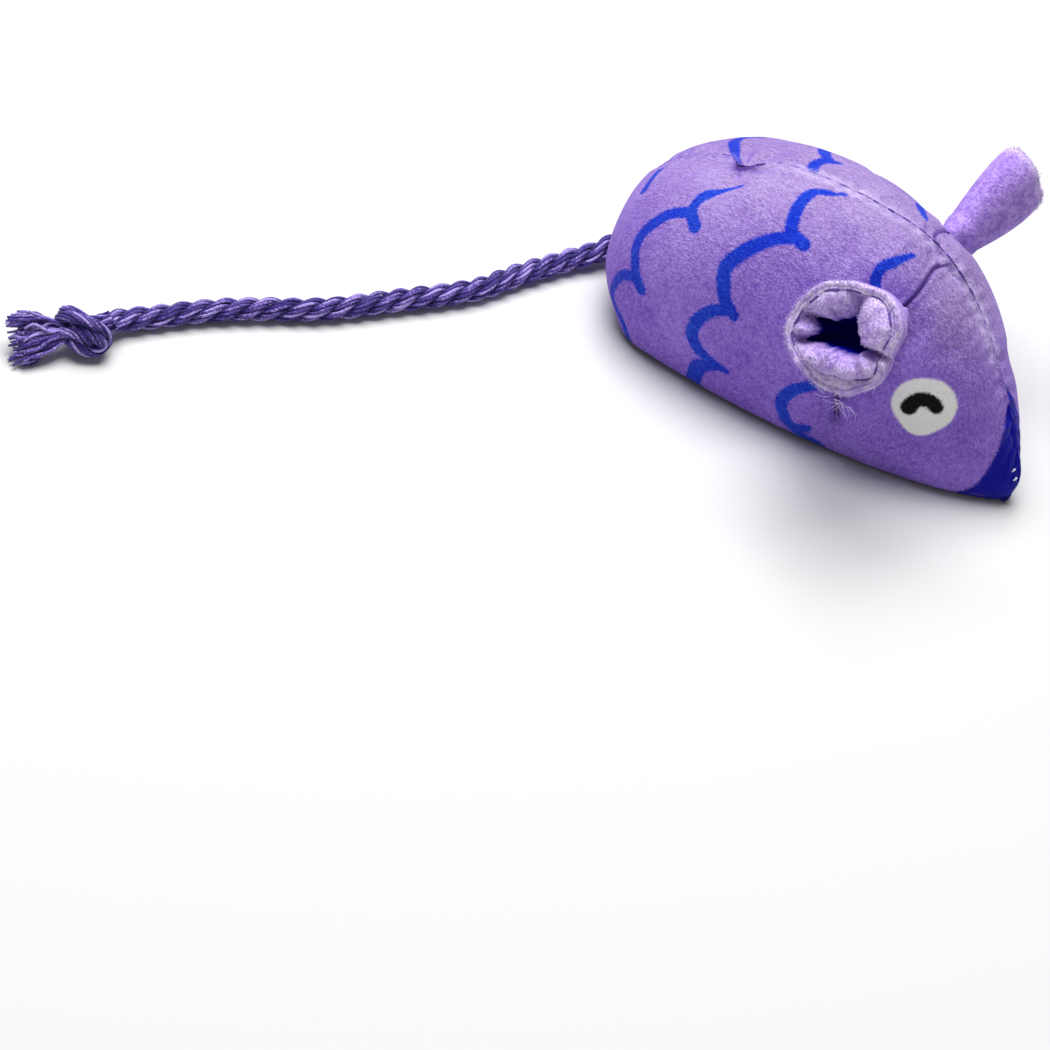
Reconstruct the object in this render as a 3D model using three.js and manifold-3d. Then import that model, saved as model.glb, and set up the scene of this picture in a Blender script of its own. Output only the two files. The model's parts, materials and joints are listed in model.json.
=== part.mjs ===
// A stuffed plush catnip mouse with two cupped ears and a twisted rope tail.
// Millimetres, +Z up, +X towards the nose. The origin lies under the middle of the body, on the floor.
import * as THREE from "three";
import Module from "manifold-3d";

const wasm = await Module();
wasm.setup();

// Body: overall size, and where along it the plan is widest and the back is highest
const BODY_LENGTH = 95;
const BODY_WIDTH = 49;
const BODY_HEIGHT = 47;
const WIDEST_FROM_RUMP = 20.5;
const TALLEST_FROM_RUMP = 56.5;
const NOSE_TIP_RISE = 6.5;
const RUMP_TIP_RISE = 12.3;
const RUMP_UNDERCUT = 7;
const RUMP_UNDERCUT_HEIGHT = 9;

// Body: roundness of the outlines, as powers and shares
const RUMP_PLAN_POWER = 2.0;
const SNOUT_PLAN_POWER = 2.0;
const SNOUT_PLAN_TAPER = 0.71;
const RUMP_BACK_POWER = 2.3;
const FOREHEAD_POWER = 2.13;
const FOREHEAD_TAPER = 0.88;
const SECTION_POWER = 2.185;
const BULGE_SHARE = 0.312;
const BASE_SHARE = 0.88;
const TIP_POWER = 3;
const UNDERCUT_POWER = 1.5;

// Cloth and sewing
const PLUSH = 1.5;
const CLEARANCE = 0.3;
const THREAD_DIAMETER = 0.4;
const SPINE_GROOVE_SPARE = 0.5;
const BASE_GROOVE_SPARE = 0.2;
const SPINE_THREAD_FROM_RUMP = 8;
const SPINE_THREAD_FROM_NOSE = 7;
const CLOSING_FROM_RUMP = 14;
const CLOSING_LENGTH = 12;
const CLOSING_WIDTH = 3.2;
const CLOSING_CROSSINGS = 8;

// Catnip pouch, a pillow lying on the base inside the stuffing
const POUCH_LENGTH = 34;
const POUCH_WIDTH = 20;
const POUCH_THICKNESS = 9;
const POUCH_FROM_RUMP = 46;

// Ears: two layers each, rolled to a cup and sewn into the dart on each side
const EAR_LENGTH = 20.5;
const EAR_FOOT_HOLLOW = 2.6;
const EAR_FOOT_WIDTH = 15;
const EAR_LAYER = 1.2;
const EAR_SLIT_WIDTH = 2.2;
const EAR_SLIT_DEPTH = 9;
const EAR_STITCH_INSET = 1.5;
const EAR_PUFFS = 4;
const EAR_PUFF_FROM_RIM = 2.6;
const EAR_PUFF_DEPTH = 3;
const EAR_PUFF_SHARE = 0.14;
const RIGHT_EAR_FROM_RUMP = 64.5;
const RIGHT_EAR_PLACE = 0.55;
const RIGHT_EAR_LEAN_DEG = 0;
const RIGHT_EAR_MOUTH = { across: 23, along: 23.5, holeShare: 0.62 };
const LEFT_EAR_FROM_RUMP = 59.6;
const LEFT_EAR_PLACE = 0.525;
const LEFT_EAR_LEAN_DEG = 6;
const LEFT_EAR_MOUTH = { across: 11.6, along: 20.5, holeShare: 0.84 };

// Darts: a fold on each side from the back seam down past the ear's foot
const DART_DEPTH = 1.6;
const DART_HALF_WIDTH = 3;

// Tail: twisted rope through the rump seam, knotted inside and at its free end
const TAIL_DIAMETER = 5;
const TAIL_SEAT_RISE = 0.2;
const TAIL_ROOT_LENGTH = 14;
const ANCHOR_KNOT_DIAMETER = 9;
const ANCHOR_DEPTH = 12;
const KNOT_LENGTH = 9.2;
const KNOT_WIDTH = 10.2;
const KNOT_HEIGHT = 9.2;
const TASSEL_LENGTH = 10.5;
const TASSEL_WIDTH = 10.8;
const TASSEL_THICKNESS = 6;
const TASSEL_HEADING_DEG = 55;
const FLOOR_GAP = 0.1;

// Tail route from the place where it leaves the rump: millimetres back, to the right, and above lying flat
const TAIL_ROUTE = [
  [1.4, 3.2, 1.7],
  [2.6, 6.4, 0.9],
  [4.6, 10.8, 0.3],
  [6.4, 14.9, 0.05],
  [9.6, 24, 0],
  [12.4, 33.7, 0],
  [16.4, 41.6, 0],
  [20.8, 48.9, 0],
  [25.1, 56.2, 0],
  [29.6, 63.2, 0],
  [34.8, 69.2, 0],
  [39.9, 75.2, 0],
  [44.6, 81.6, 0],
  [48.8, 88.5, 0],
  [52.4, 95, 0.4],
  [53.7, 99.5, 1.3],
];
const KNOT_PLACE = [54.3, 104.6];

// Mesh fineness
const STATIONS = 26;
const LOW_STEPS = 3;
const HIGH_STEPS = 9;
const EAR_SIDES = 24;
const FOOT_STEPS = 4;
const FLARE_STEPS = 6;
const ROPE_SIDES = 10;
const BALL_SIDES = 16;
const THREAD_SIDES = 4;

const PLUSH_LILAC = 0x9577c8;
const EAR_LILAC = 0xc3b0e2;
const ROPE_PURPLE = 0x5b4a96;
const THREAD_LILAC = 0x7f68b4;
const FIBRE_WHITE = 0xe9e7e2;
const POUCH_GREEN = 0xcfc8ac;
const CLOTH_ROUGHNESS = 0.95;
const ROPE_ROUGHNESS = 0.9;
const THREAD_ROUGHNESS = 0.7;

const mouse = new THREE.Group();
const seamHalfGap = CLEARANCE / 2;
const tailRadius = TAIL_DIAMETER / 2;
const threadRadius = THREAD_DIAMETER / 2;
const spineGroove = THREAD_DIAMETER + SPINE_GROOVE_SPARE;
const baseGroove = THREAD_DIAMETER + BASE_GROOVE_SPARE;

// A solid's triangles gathered by corner; corners that fall together are shared and flat triangles are dropped
class Facets {
  constructor(flipped = false) {
    this.flipped = flipped;
    this.places = [];
    this.index = [];
    this.seen = new Map();
  }

  corner(point) {
    const key = point.toArray().map((v) => Math.round(v * 1e4)).join(" ");
    if (!this.seen.has(key)) {
      this.seen.set(key, this.places.length / 3);
      this.places.push(point.x, point.y, point.z);
    }
    return this.seen.get(key);
  }

  triangle(a, b, c) {
    const corners = [a, b, c].map((p) => this.corner(p));
    if (new Set(corners).size < 3) return;
    this.index.push(...(this.flipped ? corners.reverse() : corners));
  }

  quad(a, b, c, d) {
    this.triangle(a, b, c);
    this.triangle(a, c, d);
  }

  geometry() {
    const made = new THREE.BufferGeometry();
    made.setAttribute("position", new THREE.Float32BufferAttribute(this.places, 3));
    made.setIndex(this.index);
    made.computeVertexNormals();
    return made;
  }
}

// Solid through a row of closed rings, with a flat cap at each end
function loft(rings, flipped = false) {
  const facets = new Facets(flipped);
  for (let i = 0; i + 1 < rings.length; i++) {
    rings[i].forEach((point, j) => {
      const k = (j + 1) % rings[i].length;
      facets.quad(point, rings[i][k], rings[i + 1][k], rings[i + 1][j]);
    });
  }
  const cap = (ring, reverse) => {
    const middle = ring.reduce((sum, p) => sum.add(p), new THREE.Vector3()).divideScalar(ring.length);
    ring.forEach((point, j) => {
      const next = ring[(j + 1) % ring.length];
      if (reverse) facets.triangle(middle, next, point);
      else facets.triangle(middle, point, next);
    });
  };
  cap(rings[0], true);
  cap(rings[rings.length - 1], false);
  return facets.geometry();
}

// Wall between two grids of points that share their layout, closed along all four edges
function wall(outer, inner, flipped) {
  const facets = new Facets(flipped);
  const rows = outer.length;
  const columns = outer[0].length;
  for (let i = 0; i + 1 < rows; i++) {
    for (let j = 0; j + 1 < columns; j++) {
      facets.quad(outer[i][j], outer[i + 1][j], outer[i + 1][j + 1], outer[i][j + 1]);
      facets.quad(inner[i][j], inner[i][j + 1], inner[i + 1][j + 1], inner[i + 1][j]);
    }
    const top = columns - 1;
    facets.quad(outer[i][0], inner[i][0], inner[i + 1][0], outer[i + 1][0]);
    facets.quad(outer[i][top], outer[i + 1][top], inner[i + 1][top], inner[i][top]);
  }
  for (let j = 0; j + 1 < columns; j++) {
    const last = rows - 1;
    facets.quad(outer[0][j], outer[0][j + 1], inner[0][j + 1], inner[0][j]);
    facets.quad(outer[last][j], inner[last][j], inner[last][j + 1], outer[last][j + 1]);
  }
  return facets.geometry();
}

// Closed geometry to a solid that can be joined and cut, and back
function solid(geometry) {
  const facets = new Facets();
  const source = geometry.index ? geometry.toNonIndexed() : geometry;
  const place = source.getAttribute("position");
  const at = (i) => new THREE.Vector3().fromBufferAttribute(place, i);
  for (let i = 0; i < place.count; i += 3) facets.triangle(at(i), at(i + 1), at(i + 2));
  return new wasm.Manifold(
    new wasm.Mesh({
      numProp: 3,
      vertProperties: new Float32Array(facets.places),
      triVerts: new Uint32Array(facets.index),
    }),
  );
}

function geometryOf(shape) {
  const mesh = shape.getMesh();
  const made = new THREE.BufferGeometry();
  made.setAttribute("position", new THREE.BufferAttribute(new Float32Array(mesh.vertProperties), 3));
  made.setIndex([...mesh.triVerts]);
  made.computeVertexNormals();
  return made;
}

function add(parent, name, geometry, color, roughness) {
  const material = new THREE.MeshStandardMaterial({ color, roughness, metalness: 0 });
  const mesh = new THREE.Mesh(geometry, material);
  mesh.name = name;
  parent.add(mesh);
}

// Tube of a round section along a curve
function tube(curve, radius, sides, steps) {
  const section = new THREE.Shape();
  for (let i = 0; i < sides; i++) {
    const turn = (2 * Math.PI * i) / sides;
    const corner = [radius * Math.cos(turn), radius * Math.sin(turn)];
    if (i === 0) section.moveTo(...corner);
    else section.lineTo(...corner);
  }
  section.closePath();
  return new THREE.ExtrudeGeometry(section, { steps, extrudePath: curve, curveSegments: 1 });
}

// Rise from 0 at the rump to 1 at the peak and back to 0 at the nose
function swell(along, peak, rearPower, frontPower, frontTaper) {
  if (along < peak) {
    const rear = (peak - along) / peak;
    return (1 - rear ** rearPower) ** (1 / rearPower);
  }
  const front = Math.min(1, (along - peak) / (1 - peak));
  return (1 - front ** frontPower) ** frontTaper;
}

// The body's skin at a share of its length, drawn in by an inset and starting at a lowest height
const sidesLow = PLUSH + CLEARANCE;
const OUTSIDE = { inset: 0, low: sidesLow + baseGroove };
const INSIDE = { inset: PLUSH, low: sidesLow };
const FILLING = { inset: PLUSH + CLEARANCE, low: sidesLow };

function halfWidth(along, skin) {
  const widest = WIDEST_FROM_RUMP / BODY_LENGTH;
  const half = BODY_WIDTH / 2 - seamHalfGap - skin.inset;
  return half * swell(along, widest, RUMP_PLAN_POWER, SNOUT_PLAN_POWER, SNOUT_PLAN_TAPER);
}

function backHeight(along, skin) {
  const tallest = TALLEST_FROM_RUMP / BODY_LENGTH;
  const rise = swell(along, tallest, RUMP_BACK_POWER, FOREHEAD_POWER, FOREHEAD_TAPER);
  const fromMiddle = 2 * along - 1;
  const tip = fromMiddle > 0 ? NOSE_TIP_RISE : RUMP_TIP_RISE;
  const tipRise = tip * Math.abs(fromMiddle) ** TIP_POWER;
  return skin.low + (BODY_HEIGHT - skin.inset - skin.low) * rise + tipRise * (1 - rise);
}

const LOW_SHARE = 0.25;

// Each dart by section place: its offset from the ear's seat as a share of the body's length, and its share of depth
const DART_LINE = [[0, -0.025], [0.3, -0.029], [0.55, 0], [0.7, 0.02], [1, 0.033]];
const DART_SHARE = [[0.08, 0], [0.16, 1], [0.34, 1], [0.4, 0], [0.7, 0], [0.76, 1], [0.92, 1], [1, 0.4]];

function fromTable(table, at) {
  const next = table.findIndex(([place]) => place >= at);
  if (next <= 0) return table[next < 0 ? table.length - 1 : 0][1];
  const [[fromPlace, from], [toPlace, to]] = [table[next - 1], table[next]];
  return from + ((to - from) * (at - fromPlace)) / (toPlace - fromPlace);
}

// Point of the right half: section place runs from 0 at the base seam to 1 at the spine seam.
// Where the ear's seat along the body is given, the skin is folded in along its dart.
function skinPoint(along, place, skin, earAlong) {
  const half = halfWidth(along, skin);
  const top = backHeight(along, skin);
  const bulge = skin.low + BULGE_SHARE * (top - skin.low);
  let out;
  let z;
  if (place <= LOW_SHARE) {
    const rise = place / LOW_SHARE;
    z = skin.low + (bulge - skin.low) * rise;
    out = half * (BASE_SHARE + (1 - BASE_SHARE) * Math.sqrt(1 - (1 - rise) ** 2));
  } else {
    const turn = (((place - LOW_SHARE) / (1 - LOW_SHARE)) * Math.PI) / 2;
    z = bulge + (top - bulge) * Math.max(0, Math.sin(turn)) ** (2 / SECTION_POWER);
    out = half * Math.max(0, Math.cos(turn)) ** (2 / SECTION_POWER);
  }
  if (earAlong !== undefined) {
    const fromDart = Math.abs(along - earAlong - fromTable(DART_LINE, place)) * BODY_LENGTH;
    const fold = Math.max(0, 1 - fromDart / DART_HALF_WIDTH) * fromTable(DART_SHARE, place);
    const reach = Math.hypot(out, z - bulge);
    const kept = reach > 0 ? 1 - (DART_DEPTH * fold) / reach : 1;
    out *= kept;
    z = bulge + (z - bulge) * kept;
  }
  const tuck = Math.max(0, 1 - (z - skin.low) / RUMP_UNDERCUT_HEIGHT) ** UNDERCUT_POWER;
  const fade = Math.max(0, 1 - (along * BODY_LENGTH) / WIDEST_FROM_RUMP) ** UNDERCUT_POWER;
  const x = (along - 0.5) * (BODY_LENGTH - 2 * skin.inset) + RUMP_UNDERCUT * tuck * fade;
  return new THREE.Vector3(x, -seamHalfGap - out, z);
}

const stations = [];
for (let i = 0; i <= STATIONS; i++) stations.push((1 - Math.cos((Math.PI * i) / STATIONS)) / 2);
const places = [];
for (let i = 0; i < LOW_STEPS; i++) places.push((LOW_SHARE * i) / LOW_STEPS);
for (let i = 0; i < HIGH_STEPS; i++) places.push(LOW_SHARE + ((1 - LOW_SHARE) * i) / HIGH_STEPS);
const SEAM_SHOULDER_PLACE = 0.97;
places.push(SEAM_SHOULDER_PLACE, 1);

// Middle line of the back, sunk below the skin along its own normal
const LINE_STEP = 1e-4;
function spinePoint(along, depth, y) {
  const from = skinPoint(Math.max(0, along - LINE_STEP), 1, OUTSIDE);
  const to = skinPoint(Math.min(1, along + LINE_STEP), 1, OUTSIDE);
  const run = to.clone().sub(from).setY(0).normalize();
  const here = skinPoint(along, 1, OUTSIDE);
  return new THREE.Vector3(here.x + run.z * depth, y, here.z - run.x * depth);
}

// Stations of one side at a section place: the three nearest to the ear give way to five that follow the dart
function dartStations(earAlong, place) {
  const gaps = stations.map((along) => Math.abs(along - earAlong));
  const nearest = gaps.indexOf(Math.min(...gaps));
  const dart = earAlong + fromTable(DART_LINE, place);
  const half = DART_HALF_WIDTH / BODY_LENGTH;
  const before = (stations[nearest - 2] + dart - half) / 2;
  const after = (stations[nearest + 2] + dart + half) / 2;
  const five = [before, dart - half, dart, dart + half, after];
  return [...stations.slice(0, nearest - 1), ...five, ...stations.slice(nearest + 2)];
}

// Grid of one side's skin as the right half, row by row along the body
const rightEarAlong = RIGHT_EAR_FROM_RUMP / BODY_LENGTH;
const leftEarAlong = LEFT_EAR_FROM_RUMP / BODY_LENGTH;
function skinGrid(skin, earAlong) {
  const columns = places.map((place) =>
    dartStations(earAlong, place).map((along) => skinPoint(along, place, skin, earAlong)),
  );
  return columns[0].map((_, i) => columns.map((column) => column[i]));
}

// Where the tail leaves the rump: a ball of rope against the seam, just outside the skin
const exitReach = tailRadius + CLEARANCE;
const exitHeight = sidesLow + exitReach + TAIL_SEAT_RISE;
let tailPivotX = Infinity;
for (const place of places) {
  const rump = skinPoint(0, place, OUTSIDE);
  const drop = rump.z - exitHeight;
  if (Math.abs(drop) < exitReach) {
    tailPivotX = Math.min(tailPivotX, rump.x - Math.sqrt(exitReach ** 2 - drop ** 2));
  }
}
const tailPivot = new THREE.Vector3(tailPivotX, 0, exitHeight);
const anchorX = tailPivotX + exitReach + ANCHOR_DEPTH;

// Round bar along X at the tail's height
function tailBar(radius, fromX, toX) {
  const bar = new THREE.CylinderGeometry(radius, radius, toX - fromX, BALL_SIDES);
  bar.rotateZ(Math.PI / 2);
  bar.translate((fromX + toX) / 2, 0, exitHeight);
  return solid(bar);
}

function ball(radius, centre) {
  const made = new THREE.SphereGeometry(radius, BALL_SIDES, BALL_SIDES / 2);
  made.translate(centre.x, centre.y, centre.z);
  return solid(made);
}

// Side panels: two plush halves meeting at the spine seam, with a notch each for the tail
const tailHole = tailBar(exitReach, tailPivotX - TAIL_DIAMETER, anchorX);
function outerGrid(earAlong) {
  const spineStations = dartStations(earAlong, 1);
  return skinGrid(OUTSIDE, earAlong).map((row, i) => [
    ...row.slice(0, -1),
    spinePoint(spineStations[i], spineGroove, -seamHalfGap),
  ]);
}
const mirrored = (grid) => grid.map((row) => row.map((p) => new THREE.Vector3(p.x, -p.y, p.z)).reverse());
const rightWall = wall(outerGrid(rightEarAlong), skinGrid(INSIDE, rightEarAlong), false);
const leftWall = wall(mirrored(outerGrid(leftEarAlong)), mirrored(skinGrid(INSIDE, leftEarAlong)), false);
const rightHalf = solid(rightWall).subtract(tailHole);
const leftHalf = solid(leftWall).subtract(tailHole);
add(mouse, "side_panel_right", geometryOf(rightHalf), PLUSH_LILAC, CLOTH_ROUGHNESS);
add(mouse, "side_panel_left", geometryOf(leftHalf), PLUSH_LILAC, CLOTH_ROUGHNESS);

// Base panel: a flat teardrop under both sides
const baseOutline = new THREE.Shape();
const baseEdge = stations.map((along) => skinPoint(along, 0, OUTSIDE));
const basePoints = [
  ...baseEdge.map((p) => new THREE.Vector2(p.x, p.y)),
  ...baseEdge.map((p) => new THREE.Vector2(p.x, -p.y)).reverse(),
];
baseOutline.setFromPoints(basePoints);
const basePanel = new THREE.ExtrudeGeometry(baseOutline, { depth: PLUSH, bevelEnabled: false });
add(mouse, "base_panel", basePanel, PLUSH_LILAC, CLOTH_ROUGHNESS);

// Sewing threads: along the spine groove, across it where the stuffing hole was closed, along each base edge
const spineLine = [];
const SPINE_THREAD_STEPS = 40;
const spineThreadRun = BODY_LENGTH - SPINE_THREAD_FROM_RUMP - SPINE_THREAD_FROM_NOSE;
for (let i = 0; i <= SPINE_THREAD_STEPS; i++) {
  const place = SPINE_THREAD_FROM_RUMP + (spineThreadRun * i) / SPINE_THREAD_STEPS;
  spineLine.push(spinePoint(place / BODY_LENGTH, spineGroove / 2, 0));
}
const spineCurve = new THREE.CatmullRomCurve3(spineLine);
const spineTube = tube(spineCurve, threadRadius, THREAD_SIDES, SPINE_THREAD_STEPS);
add(mouse, "spine_thread", spineTube, THREAD_LILAC, THREAD_ROUGHNESS);

const closingRise = CLEARANCE / 2 + threadRadius;
const closingLine = [];
for (let i = 0; i <= CLOSING_CROSSINGS; i++) {
  const place = CLOSING_FROM_RUMP + (CLOSING_LENGTH * i) / CLOSING_CROSSINGS;
  const y = (i % 2 ? 0.5 : -0.5) * CLOSING_WIDTH;
  closingLine.push(spinePoint(place / BODY_LENGTH, -closingRise, y));
}
const CROSSING_STEPS = 6;
const closingCurve = new THREE.CatmullRomCurve3(closingLine);
const closingTube = tube(closingCurve, threadRadius, THREAD_SIDES, CROSSING_STEPS * CLOSING_CROSSINGS);
add(mouse, "closing_thread", closingTube, THREAD_LILAC, THREAD_ROUGHNESS);

const BASE_THREAD_INSET = 0.35;
const threadHeight = PLUSH + CLEARANCE / 2 + threadRadius;
const TIP_STATIONS = 2;
const baseLine = stations.slice(TIP_STATIONS, -TIP_STATIONS).map((along) => {
  const edge = skinPoint(along, 0, OUTSIDE);
  return new THREE.Vector3(edge.x, edge.y + BASE_THREAD_INSET, threadHeight);
});
const baseCurves = { right: baseLine, left: baseLine.map((p) => new THREE.Vector3(p.x, -p.y, p.z)) };
for (const [side, line] of Object.entries(baseCurves)) {
  const curve = new THREE.CatmullRomCurve3(line);
  const baseTube = tube(curve, threadRadius, THREAD_SIDES, line.length);
  add(mouse, `base_thread_${side}`, baseTube, THREAD_LILAC, THREAD_ROUGHNESS);
}

// Catnip pouch: a pillow, thin along its four sewn edges
const pouchX = POUCH_FROM_RUMP - BODY_LENGTH / 2;
const pouchMiddle = PLUSH + CLEARANCE + POUCH_THICKNESS / 2;
const POUCH_STEPS = 10;
const POUCH_EDGE_SHARE = 0.12;
const POUCH_CROWN_POWER = 4;
function pouchHeight(u, v) {
  const crown = (1 - u ** POUCH_CROWN_POWER) * (1 - v ** POUCH_CROWN_POWER);
  return (POUCH_THICKNESS / 2) * (POUCH_EDGE_SHARE + (1 - POUCH_EDGE_SHARE) * crown);
}
function pouchGrid(side) {
  const rows = [];
  for (let i = 0; i <= POUCH_STEPS; i++) {
    const u = (2 * i) / POUCH_STEPS - 1;
    const row = [];
    for (let j = 0; j <= POUCH_STEPS; j++) {
      const v = (2 * j) / POUCH_STEPS - 1;
      const x = pouchX + (u * POUCH_LENGTH) / 2;
      row.push(new THREE.Vector3(x, (v * POUCH_WIDTH) / 2, pouchMiddle + side * pouchHeight(u, v)));
    }
    rows.push(row);
  }
  return rows;
}
add(mouse, "catnip_pouch", wall(pouchGrid(1), pouchGrid(-1), false), POUCH_GREEN, CLOTH_ROUGHNESS);

// Stuffing: one wad that fills the skin, hollowed for the pouch and for the knotted end of the tail
const wadRight = skinGrid(FILLING, rightEarAlong);
const wadLeft = mirrored(skinGrid(FILLING, leftEarAlong));
const wadRings = wadRight.slice(1, -1).map((row, i) => [...row, ...wadLeft[i + 1]]);
const pocketHeight = POUCH_THICKNESS + 2 * CLEARANCE;
const pouchPocket = new THREE.BoxGeometry(
  POUCH_LENGTH + 2 * CLEARANCE,
  POUCH_WIDTH + 2 * CLEARANCE,
  pocketHeight,
);
pouchPocket.translate(pouchX, 0, PLUSH + pocketHeight / 2);
const anchorPlace = new THREE.Vector3(anchorX, 0, exitHeight + ANCHOR_KNOT_DIAMETER / 2 - tailRadius);
const wad = solid(loft(wadRings, true))
  .subtract(solid(pouchPocket))
  .subtract(ball(ANCHOR_KNOT_DIAMETER / 2 + CLEARANCE, anchorPlace))
  .subtract(tailHole);
add(mouse, "stuffing", geometryOf(wad), FIBRE_WHITE, CLOTH_ROUGHNESS);

// Tail anchor: the end of the rope inside the rump, knotted so that it can't pull out
const anchorKnot = ball(ANCHOR_KNOT_DIAMETER / 2, anchorPlace);
const anchor = tailBar(tailRadius, tailPivotX + exitReach, anchorX).add(anchorKnot);
add(mouse, "tail_anchor", geometryOf(anchor), ROPE_PURPLE, ROPE_ROUGHNESS);

// Ears: each a group at its hinge line, X across, Y along the dart, Z out of the body
const earWall = 2 * EAR_LAYER + CLEARANCE;
const footX = EAR_FOOT_HOLLOW / 2 + earWall;
const footY = EAR_FOOT_WIDTH / 2;
const earRim = EAR_LENGTH - footX - CLEARANCE;

// Half sizes of a cup's ring at a height above its hinge line, drawn in by an inset
function earHalf(mouth, height, inset) {
  if (height < 0) {
    const round = Math.sqrt(Math.max(0, 1 - (height / (footX - inset)) ** 2));
    return [(footX - inset) * round, (footY - inset) * round];
  }
  const flare = Math.sin(((height / earRim) * Math.PI) / 2);
  const x = footX + (mouth.across / 2 - footX) * flare;
  const y = footY + (mouth.along / 2 - footY) * flare;
  return [x - inset, y - inset];
}

// Rings from the foot to the rim; a puffed face swells inwards in rounded folds below the rim
function earRings(mouth, inset, puffed) {
  const heights = [];
  for (let i = 0; i < FOOT_STEPS; i++) {
    const turn = ((Math.PI / 2) * i) / FOOT_STEPS;
    heights.push(-(footX - inset) * Math.cos(turn));
  }
  const flat = earRim - EAR_PUFF_FROM_RIM;
  for (let i = 0; i <= FLARE_STEPS; i++) heights.push((flat * i) / FLARE_STEPS);
  heights.push(earRim);
  return heights.map((height) => {
    const [x, y] = earHalf(mouth, height, inset);
    const puff = puffed ? Math.max(0, Math.min(1, (flat - height) / EAR_PUFF_DEPTH)) : 0;
    const ring = [];
    for (let i = 0; i < EAR_SIDES; i++) {
      const turn = (2 * Math.PI * i) / EAR_SIDES;
      const hole = mouth.holeShare + EAR_PUFF_SHARE * Math.cos(EAR_PUFFS * turn);
      const share = 1 - puff * (1 - hole);
      ring.push(new THREE.Vector3(x * share * Math.cos(turn), y * share * Math.sin(turn), height));
    }
    return ring;
  });
}

function earLayer(mouth, inset, puffed) {
  const outside = earRings(mouth, inset, false);
  const inside = earRings(mouth, inset + EAR_LAYER, puffed).reverse();
  const slit = new THREE.BoxGeometry(mouth.across, EAR_SLIT_WIDTH, 2 * EAR_SLIT_DEPTH);
  slit.translate(mouth.across / 2, 0, earRim);
  return geometryOf(solid(loft([...outside, ...inside])).subtract(solid(slit)));
}

function earStitch(mouth) {
  const height = earRim - EAR_STITCH_INSET;
  const [x, y] = earHalf(mouth, height, earWall + CLEARANCE / 2 + threadRadius);
  const notch = Math.asin(EAR_SLIT_WIDTH / y);
  const line = [];
  for (let i = 0; i <= EAR_SIDES; i++) {
    const turn = notch + ((2 * Math.PI - 2 * notch) * i) / EAR_SIDES;
    line.push(new THREE.Vector3(x * Math.cos(turn), y * Math.sin(turn), height));
  }
  return tube(new THREE.CatmullRomCurve3(line), threadRadius, THREAD_SIDES, 2 * EAR_SIDES);
}

const SURFACE_STEP = 1e-3;
const ears = [
  {
    side: "right",
    mouth: RIGHT_EAR_MOUTH,
    fromRump: RIGHT_EAR_FROM_RUMP,
    place: RIGHT_EAR_PLACE,
    leanDeg: RIGHT_EAR_LEAN_DEG,
    y: 1,
  },
  {
    side: "left",
    mouth: LEFT_EAR_MOUTH,
    fromRump: LEFT_EAR_FROM_RUMP,
    place: LEFT_EAR_PLACE,
    leanDeg: LEFT_EAR_LEAN_DEG,
    y: -1,
  },
];
for (const { side, mouth, fromRump, place, leanDeg, y } of ears) {
  const share = fromRump / BODY_LENGTH;
  const seat = skinPoint(share, place, OUTSIDE);
  const alongBody = skinPoint(share + SURFACE_STEP, place, OUTSIDE).sub(seat);
  const alongDart = skinPoint(share, place + SURFACE_STEP, OUTSIDE).sub(seat).setX(0).normalize();
  const normal = new THREE.Vector3().crossVectors(alongBody, alongDart).normalize();
  const hinge = seat.clone().addScaledVector(normal, footX + CLEARANCE);
  const lean = THREE.MathUtils.degToRad(leanDeg);
  const upright = new THREE.Vector3(0, -y * alongDart.z, alongDart.y);
  const out = upright.clone().multiplyScalar(Math.cos(lean)).setX(Math.sin(lean));
  const across = upright.clone().multiplyScalar(-Math.sin(lean)).setX(Math.cos(lean));
  const along = new THREE.Vector3().crossVectors(out, across);
  const ear = new THREE.Group();
  ear.setRotationFromMatrix(new THREE.Matrix4().makeBasis(across, along, out));
  ear.position.set(hinge.x, y * hinge.y, hinge.z);
  add(ear, `ear_${side}_outer`, earLayer(mouth, 0, false), PLUSH_LILAC, CLOTH_ROUGHNESS);
  add(ear, `ear_${side}_lining`, earLayer(mouth, EAR_LAYER + CLEARANCE, true), EAR_LILAC, CLOTH_ROUGHNESS);
  add(ear, `ear_${side}_stitch`, earStitch(mouth), THREAD_LILAC, THREAD_ROUGHNESS);
  mouse.add(ear);
}

// Tail: the first stretch swings at the rump seam, the rest lifts from its end
const lying = tailRadius + FLOOR_GAP;
const [knotBack, knotRight] = KNOT_PLACE;
const knotCentre = new THREE.Vector3(tailPivotX - knotBack, -knotRight, KNOT_HEIGHT / 2 + FLOOR_GAP);
const route = new THREE.CatmullRomCurve3([
  tailPivot,
  ...TAIL_ROUTE.map(([back, right, rise]) => new THREE.Vector3(tailPivotX - back, -right, lying + rise)),
  knotCentre,
]);
route.arcLengthDivisions = 800;
const routeLength = route.getLength();

function stretch(from, to, points) {
  const line = [];
  for (let i = 0; i <= points; i++) {
    const place = from + ((to - from) * i) / points;
    line.push(route.getPointAt(place / routeLength));
  }
  return new THREE.CatmullRomCurve3(line);
}

// How far the knot reaches from its centre towards the rope
const heading = Math.PI + THREE.MathUtils.degToRad(TASSEL_HEADING_DEG);
const towardsRope = route.getTangentAt(1).applyAxisAngle(new THREE.Vector3(0, 0, 1), -heading);
const knotHalf = new THREE.Vector3(KNOT_LENGTH, KNOT_WIDTH, KNOT_HEIGHT).divideScalar(2);
const knotReach = 1 / towardsRope.divide(knotHalf).length();

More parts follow.
